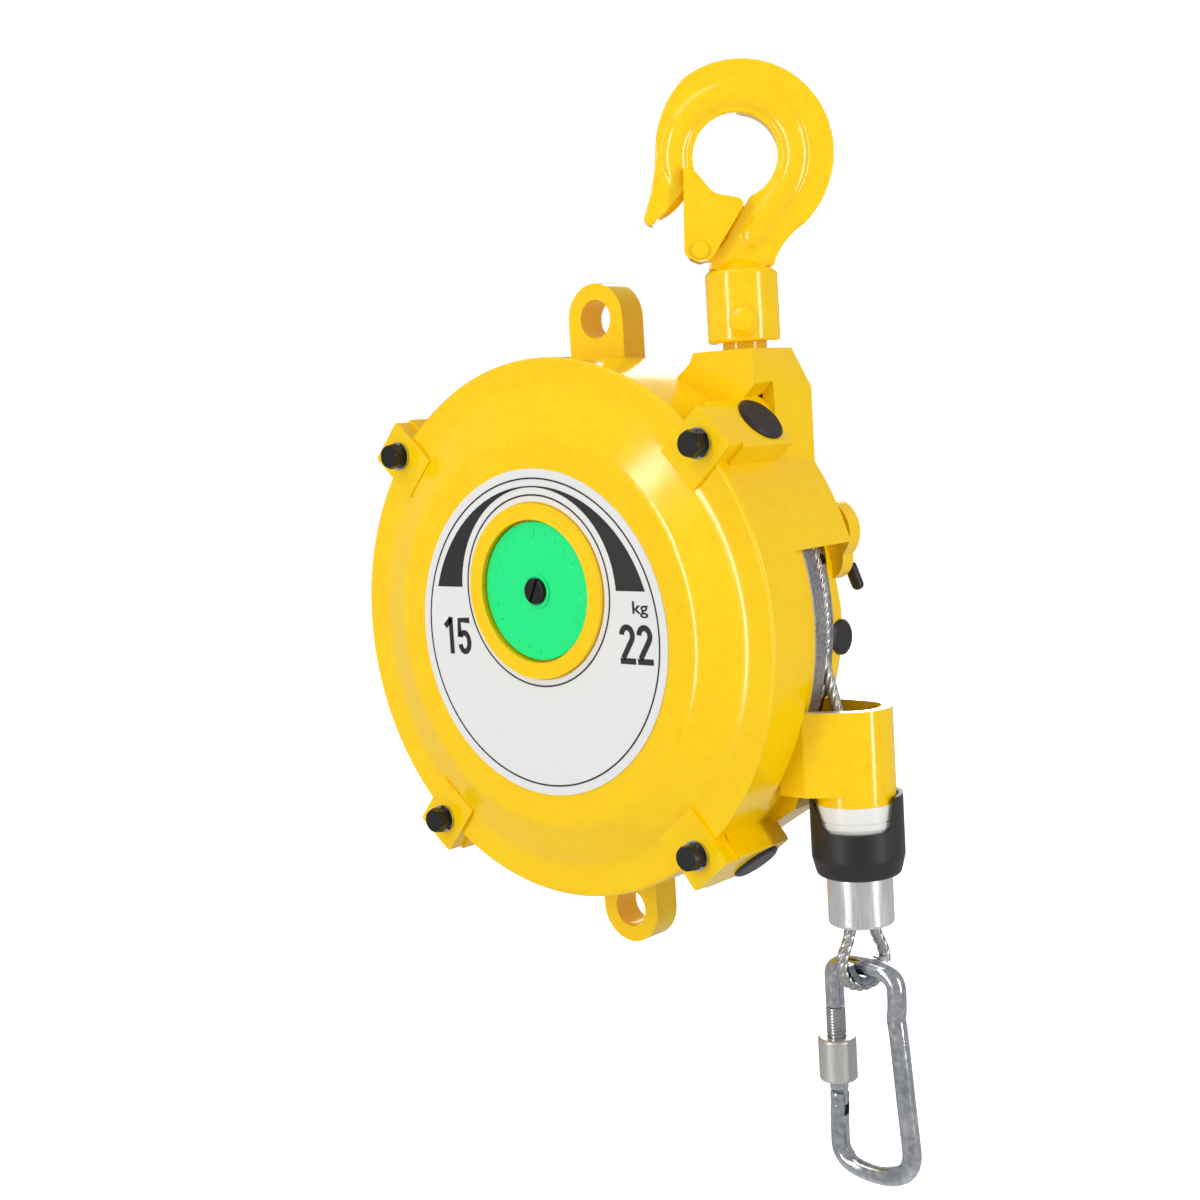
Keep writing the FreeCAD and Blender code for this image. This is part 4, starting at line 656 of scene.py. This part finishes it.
# ---------------------------------------------------------------- wire rope
@dataclass
class WireRope:
    """Six-strand wire rope: a lobed section that turns as it runs along its line."""

    radius: float = 2.5
    strands: int = 6
    lobe_turn: float = math.radians(36)
    lay: float = 24.0
    step: float = 1.1

    def section(self) -> bpy.types.Object:
        """Draw the outline of the strands: five points round the outer side of each.

        Returns:
            A closed flat curve.
        """
        lobe = self.radius / (1 + 1 / math.sin(math.pi / self.strands))
        reach = self.radius - lobe
        points = []
        for i in range(self.strands):
            middle = 2 * math.pi * i / self.strands
            for j in range(-2, 3):
                turn = middle + j * self.lobe_turn
                x = reach * math.cos(middle) + lobe * math.cos(turn)
                y = reach * math.sin(middle) + lobe * math.sin(turn)
                points.append(Vector((x, y, 0.0)) * MM)
        curve = bpy.data.curves.new("rope_section", "CURVE")
        curve.dimensions = "2D"
        add_spline(curve, "POLY", points).use_cyclic_u = True
        return add_object("rope_section", curve)

    def lay_runs(self, name: str, lines: list[list[Vector]], body: Body, *nodes: str) -> bpy.types.Object:
        """Lay runs of rope as one piece.

        Args:
            name: Name of the piece.
            lines: Points along the middle of each run, in metres.
            body: Body that it rides on.
            *nodes: CAD nodes that it stands for.

        Returns:
            The piece.
        """
        section = self.section()
        curve = bpy.data.curves.new(name, "CURVE")
        curve.dimensions = "3D"
        curve.bevel_mode = "OBJECT"
        curve.bevel_object = section
        curve.use_fill_caps = True
        curve.twist_mode = "MINIMUM"
        for line in lines:
            for i, point in enumerate(add_spline(curve, "POLY", self.even(line)).points):
                point.tilt = 2 * math.pi * i * self.step / self.lay
        piece = mesh_from(name, curve)
        bpy.data.objects.remove(section)
        finish_piece(piece, WIRE, body, *nodes, angle=50)
        return piece

    def even(self, line: list[Vector]) -> list[Vector]:
        """Walk along a line in even steps.

        Args:
            line: Corners of the line in metres.

        Returns:
            Points one step apart, from the line's start.
        """
        points = [line[0]]
        left = self.step * MM
        for start, end in zip(line, line[1:]):
            span = end - start
            while span.length > left:
                start = start + span.normalized() * left
                points.append(start)
                span = end - start
                left = self.step * MM
            left -= span.length
        return points


def smooth_line(corners: list[Vector]) -> list[Vector]:
    """Follow a smooth spline that has these control points.

    Args:
        corners: Control points in metres.

    Returns:
        Points close together along the spline.
    """
    curve = bpy.data.curves.new("line", "CURVE")
    curve.dimensions = "3D"
    curve.resolution_u = 24
    add_spline(curve, "NURBS", corners)
    holder = add_object("line", curve)
    mesh = bpy.data.meshes.new_from_object(holder)
    points = [v.co.copy() for v in mesh.vertices]
    bpy.data.objects.remove(holder)
    return points


@dataclass
class RopeRuns:
    """All the rope: turns on the drum, the run to the guide, the straight pull and the eye."""

    turn_radii: tuple[float, ...] = (97.8, 98.8, 99.8)
    turn_y: tuple[float, ...] = (1.2, 6.4, 11.6)
    turn_steps: int = 240
    guide_x: float = 119.0
    guide_z: float = -61.0
    eye_side: tuple[tuple[float, float], ...] = (
        (5.2, -330.0), (6.6, -338.0), (10.9, -345.1), (10.9, -354.1), (4.2, -358.6))
    eye_yaw: float = 70.0

    def on_drum(self, radius: float, y: float, angle: float) -> Vector:
        """Point round the drum, from millimetres and an angle in radians."""
        return DRUM_AXIS + Vector((radius * math.cos(angle), y, radius * math.sin(angle))) * MM

    def turn(self, radius: float, y: float) -> list[Vector]:
        """Middle line of one turn on the drum."""
        steps = self.turn_steps
        return [self.on_drum(radius, y, 2 * math.pi * i / steps) for i in range(steps + 1)]

    def lead(self) -> list[Vector]:
        """Find the middle line from the drum's first turn to the guide.

        Returns:
            Where the rope leaves the turn, and the guide's mouth.
        """
        radius = self.turn_radii[0]
        reach = math.hypot(self.guide_x, self.guide_z)
        leave = math.atan2(self.guide_z, self.guide_x) + math.acos(radius / reach)
        mouth = DRUM_AXIS + Vector((self.guide_x, 0.0, self.guide_z)) * MM
        return [self.on_drum(radius, self.turn_y[0], leave), mouth]

    def eye(self) -> list[Vector]:
        """Find the middle line of the loop below the clamp, down one side and up the other.

        Returns:
            Points close together along the loop.
        """
        route = self.eye_side + tuple((-x, z) for x, z in reversed(self.eye_side))
        turn = Matrix.Rotation(math.radians(self.eye_yaw), 3, "Z")
        middle = Vector((CABLE_X, 0.0, 0.0))
        return smooth_line([middle + turn @ (Vector((x, 0.0, z)) * MM) for x, z in route])

    def build(self) -> None:
        """Lay every run; the straight pull rides on neither body, its place baked into its mesh."""
        rope = WireRope()
        turns = [self.turn(radius, y) for radius, y in zip(self.turn_radii, self.turn_y)]
        rope.lay_runs("rope_turns", turns, Body.DRUM, "rope_on_drum")
        rope.lay_runs("rope_to_guide", [self.lead()], Body.CASING, "rope_lead")
        rope.lay_runs("rope_loop", [self.eye()], Body.LOAD_END, "rope_eye")
        low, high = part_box("rope_run")
        top, foot = Vector((CABLE_X, 0.0, high.z)), Vector((CABLE_X, 0.0, low.z))
        pull = rope.lay_runs("rope_pull", [[top, foot]], Body.BETWEEN, "rope_run")
        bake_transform(pull)


# ---------------------------------------------------------------- dial marks
@dataclass
class DialMarks:
    """Raised graduation on the green disc: every fourth mark is long."""

    tick_r: float = 24.6
    tick_w: float = 0.9
    long_l: float = 3.4
    short_l: float = 1.87
    rise: float = 0.3
    sunk: float = 0.5
    edge: float = 0.22
    count: int = 24

    def tick(self, length: float) -> bpy.types.Object:
        """Make one raised mark above the disc's middle, pointing up.

        Args:
            length: Length of the mark in millimetres.

        Returns:
            The mark.
        """
        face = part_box("indicator_disc")[0].y + self.sunk * MM
        place = Vector((DIAL_MIDDLE.x, face, DIAL_MIDDLE.z + self.tick_r * MM))
        bpy.ops.object.select_all(action="DESELECT")
        bpy.ops.mesh.primitive_cube_add(size=1, location=place)
        mark = bpy.context.object
        mark.name = "dial_graduation"
        mark.scale = (self.tick_w * MM, 2 * self.rise * MM, length * MM)
        settle(mark)
        apply_modifier(mark, "BEVEL", width=self.edge * MM, segments=2)
        return mark

    def build(self) -> None:
        """Make a long and a short mark, copy them round the disc and join the copies."""
        models = (self.tick(self.long_l), self.tick(self.short_l))
        marks = []
        for i in range(self.count):
            model = models[0] if i % 4 == 0 else models[1]
            turn = Matrix.Rotation(2 * math.pi * i / self.count, 4, "Y")
            mark = add_object("dial_mark", model.data.copy())
            mark.data.transform(Matrix.Translation(DIAL_MIDDLE) @ turn @ Matrix.Translation(-DIAL_MIDDLE))
            marks.append(mark)
        for model in models:
            bpy.data.objects.remove(model)
        select_only(*marks)
        bpy.ops.object.join()
        marks[0].name = "dial_graduation"
        finish_piece(marks[0], DIAL_GREEN, Body.DIAL)


# ---------------------------------------------------------------- pale tower top, snap hook and thread
@dataclass
class PaleTowerTop:
    """Thin pale pinkish-white layer laid on the cable tower's top face."""

    from_x: float = 100.0
    beyond_x: float = 121.0
    slack: float = 0.3
    upward: float = 0.95
    thick: float = 0.06

    def build(self) -> None:
        """Cut the tower's top face out of a copy of the case and give it a little thickness."""
        # The tower's top face is copied and given a thin pale pinkish-white layer.
        rim = copy_of("main_case", "tower_pale_top")
        top = max(v.co.z for v in rim.data.vertices if v.co.x > DRUM_AXIS.x + self.beyond_x * MM)
        pick_faces(rim, lambda face: face.normal.z > self.upward
                   and abs(face.center.z - top) < self.slack * MM
                   and face.center.x > DRUM_AXIS.x + self.from_x * MM)
        bpy.ops.mesh.select_all(action="INVERT")
        bpy.ops.mesh.delete(type="FACE")
        thicken(Vector((0, 0, self.thick)) * MM)
        finish_piece(rim, PALE_TOWER_TOP, Body.CASING)


@dataclass
class SnapFrame:
    """Bent wire frame of the snap hook: a pear with a pinched shoulder, forked at the gate's hinge."""

    left: float = 29.0
    wire_r: float = 4.0
    corners: tuple[tuple[float, float], ...] = (
        (0.0, -370.0), (0.0, -362.0), (0.0, -350.6), (30.2, -350.6), (30.3, -366.5), (29.3, -370.6),
        (30.2, -374.6), (32.8, -410.0), (35.4, -439.8), (-0.6, -439.8), (-0.6, -419.0), (0.0, -413.0),
        (0.0, -407.4))
    hinge: float = -411.0
    pin_r: float = 1.62
    fork_gap: float = 3.8
    fork_rise: float = 1.0
    saw_w: float = 16.0
    saw_h: float = 14.0
    drill_l: float = 20.0
    edge: float = 0.3

    def saw(self) -> bpy.types.Object:
        """Make the block that is cut out between the fork's cheeks.

        Returns:
            The block, at the gate's hinge.
        """
        bpy.ops.object.select_all(action="DESELECT")
        place = Vector((self.left, 0.0, self.hinge + self.fork_rise)) * MM
        bpy.ops.mesh.primitive_cube_add(size=1, location=place)
        block = bpy.context.object
        block.scale = Vector((self.saw_w, self.fork_gap, self.saw_h)) * MM
        settle(block)
        return block

    def drill(self) -> bpy.types.Object:
        """Make the cylinder that is cut out for the hinge's rivet.

        Returns:
            The cylinder, at the gate's hinge.
        """
        bpy.ops.object.select_all(action="DESELECT")
        place = Vector((self.left, 0.0, self.hinge)) * MM
        bpy.ops.mesh.primitive_cylinder_add(vertices=24, radius=self.pin_r * MM, depth=self.drill_l * MM,
                                            location=place, rotation=FACING_FRONT)
        bit = bpy.context.object
        settle(bit)
        return bit

    def build(self) -> None:
        """Sweep the wire from the nose round to the gate's hinge, then saw the fork and drill it."""
        curve = bpy.data.curves.new("snap_frame", "CURVE")
        curve.dimensions = "3D"
        curve.bevel_depth = self.wire_r * MM
        curve.bevel_resolution = 6
        curve.resolution_u = 10
        curve.use_fill_caps = True
        add_spline(curve, "NURBS", [Vector((self.left + x, 0.0, z)) * MM for x, z in self.corners])
        wire = mesh_from("snap_frame", curve)
        for tool in (self.saw(), self.drill()):
            apply_modifier(wire, "BOOLEAN", object=tool, operation="DIFFERENCE", solver="EXACT")
            bpy.data.objects.remove(tool)
        apply_modifier(wire, "BEVEL", width=self.edge * MM, segments=2, limit_method="ANGLE",
                       angle_limit=math.radians(50))
        finish_piece(wire, ZINC, Body.SNAP, "snap_hook", angle=40)


@dataclass
class GateThread:
    """Rolled thread on the gate above the sleeve."""

    gate_x: float = 29.0
    core: float = 3.93
    crest: float = 4.11
    pitch: float = 1.25
    low: float = -382.0
    turns: int = 9
    sides: int = 32

    def build(self) -> None:
        """Extrude a ring up the gate in ridges."""
        foot = Vector((self.gate_x, 0.0, self.low)) * MM
        bpy.ops.object.select_all(action="DESELECT")
        bpy.ops.mesh.primitive_circle_add(vertices=self.sides, radius=self.core * MM, location=foot)
        thread = bpy.context.object
        thread.name = "gate_thread"
        bpy.ops.object.mode_set(mode="EDIT")
        bpy.ops.mesh.select_all(action="SELECT")
        for i in range(2 * self.turns):
            ratio = self.crest / self.core if i % 2 == 0 else self.core / self.crest
            climb = (0, 0, self.pitch / 2 * MM)
            bpy.ops.mesh.extrude_region_move(TRANSFORM_OT_translate={"value": climb})
            bpy.ops.transform.resize(value=(ratio, ratio, 1), center_override=(foot.x, foot.y, 0))
        bpy.ops.mesh.select_all(action="SELECT")
        bpy.ops.mesh.normals_make_consistent(inside=False)
        bpy.ops.object.mode_set(mode="OBJECT")
        finish_piece(thread, TURNED, Body.GATE, angle=20)


# ---------------------------------------------------------------- stage
Triple = tuple[float, float, float]


@dataclass(frozen=True)
class SoftBox:
    """A rectangular lamp that stands upright, in metres and watts."""

    name: str
    place: Triple
    width: float
    height: float
    power: float


@dataclass
class Stage:
    """Pale floor, soft light and the camera, in metres."""

    eye: Triple = (0.4416, -0.6035, -0.1168)
    right: Triple = (0.75425522, 0.65377318, -0.06066044)
    up: Triple = (-0.02347124, 0.11917679, 0.99259558)
    back: Triple = (0.65616168, -0.74724663, 0.10523458)
    lens: float = 53.55
    sensor: float = 36.0
    reach: float = 50.0
    sky: float = 0.53
    room: float = 0.42
    backdrop: float = 1.0
    floor_z: float = -2.1
    floor_side: float = 30.0
    floor_grey: float = 0.86
    floor_glow: float = 0.9
    aim: Triple = (-0.03, 0.0, -0.22)
    boxes: tuple[SoftBox, ...] = (
        SoftBox("front_strip", (-0.35, -1.6, 0.0), 0.2, 1.4, 12.0),
        SoftBox("right_strip", (1.7, -0.02, 0.0), 0.17, 1.4, 13.0),
        SoftBox("top_box", (-0.5, -0.7, 1.3), 1.0, 1.0, 6.0),
        SoftBox("rear_box", (-0.7, 1.6, 0.2), 0.9, 1.2, 14.0))

    def camera(self) -> None:
        """Set up the camera."""
        data = bpy.data.cameras.new("camera")
        data.lens = self.lens
        data.sensor_width = self.sensor
        data.clip_end = self.reach
        camera = add_object("camera", data)
        turn = Matrix((self.right, self.up, self.back)).transposed()
        camera.matrix_world = Matrix.Translation(self.eye) @ turn.to_4x4()
        bpy.context.scene.camera = camera

    def world(self) -> None:
        """Show the camera a white backdrop, and give the object softer light and its gloss a dim room."""
        world = bpy.data.worlds.new("studio")
        bpy.context.scene.world = world
        world.use_nodes = True
        tree = world.node_tree
        tree.nodes.clear()
        path = put(tree, "ShaderNodeLightPath")
        seen = put(tree, "ShaderNodeMath", {
            0: path.outputs["Is Camera Ray"], 1: path.outputs["Is Transmission Ray"]}, operation="MAXIMUM")
        light, room, white = [
            put(tree, "ShaderNodeBackground", {"Color": (1, 1, 1, 1), "Strength": strength}).outputs[0]
            for strength in (self.sky, self.room, self.backdrop)]
        soft = put(tree, "ShaderNodeMixShader", {0: path.outputs["Is Glossy Ray"], 1: light, 2: room})
        mix = put(tree, "ShaderNodeMixShader", {0: seen.outputs[0], 1: soft.outputs[0], 2: white})
        put(tree, "ShaderNodeOutputWorld", {"Surface": mix.outputs[0]})

    def floor(self) -> None:
        """Lay a pale floor below the load end's lowest point with all the rope out."""
        bpy.ops.object.select_all(action="DESELECT")
        bpy.ops.mesh.primitive_plane_add(size=self.floor_side, location=(0, 0, self.floor_z))
        floor = bpy.context.object
        floor.name = "floor"
        material = bpy.data.materials.new("floor_pale")
        material.use_nodes = True
        tree = material.node_tree
        tree.nodes.clear()
        path = put(tree, "ShaderNodeLightPath")
        grey = (self.floor_grey, self.floor_grey, self.floor_grey, 1)
        matt = put(tree, "ShaderNodeBsdfDiffuse", {"Color": grey}).outputs[0]
        glow = put(tree, "ShaderNodeEmission", {"Color": (1, 1, 1, 1), "Strength": self.floor_glow})
        both = put(tree, "ShaderNodeAddShader", {0: matt, 1: glow.outputs[0]}).outputs[0]
        mix = put(tree, "ShaderNodeMixShader", {0: path.outputs["Is Camera Ray"], 1: matt, 2: both})
        put(tree, "ShaderNodeOutputMaterial", {"Surface": mix.outputs[0]})
        floor.data.materials.append(material)

    def lamp(self, box: SoftBox) -> None:
        """Stand a soft box in its place, facing the object.

        Args:
            box: The soft box.
        """
        data = bpy.data.lights.new(box.name, "AREA")
        data.shape = "RECTANGLE"
        data.size = box.width
        data.size_y = box.height
        data.energy = box.power
        lamp = add_object(box.name, data)
        lamp.location = box.place
        gaze = Vector(self.aim) - Vector(box.place)
        lamp.rotation_euler = gaze.to_track_quat("-Z", "Y").to_euler()

    def build(self) -> None:
        """Make the whole stage."""
        self.camera()
        self.world()
        self.floor()
        for box in self.boxes:
            self.lamp(box)


def main() -> None:
    """Build the object and its stage."""
    logging.basicConfig(level=logging.INFO, format="%(message)s")
    bpy.context.scene.view_settings.view_transform = "Standard"
    Stage().build()
    dress_nodes()
    LabelArt(centre=DRUM_AXIS, face_y=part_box("label_plate")[0].y).build()
    ForgedHook().build()
    RopeRuns().build()
    DialMarks().build()
    PaleTowerTop().build()
    GateThread().build()
    SnapFrame().build()


if __name__ == "__main__":
    main()
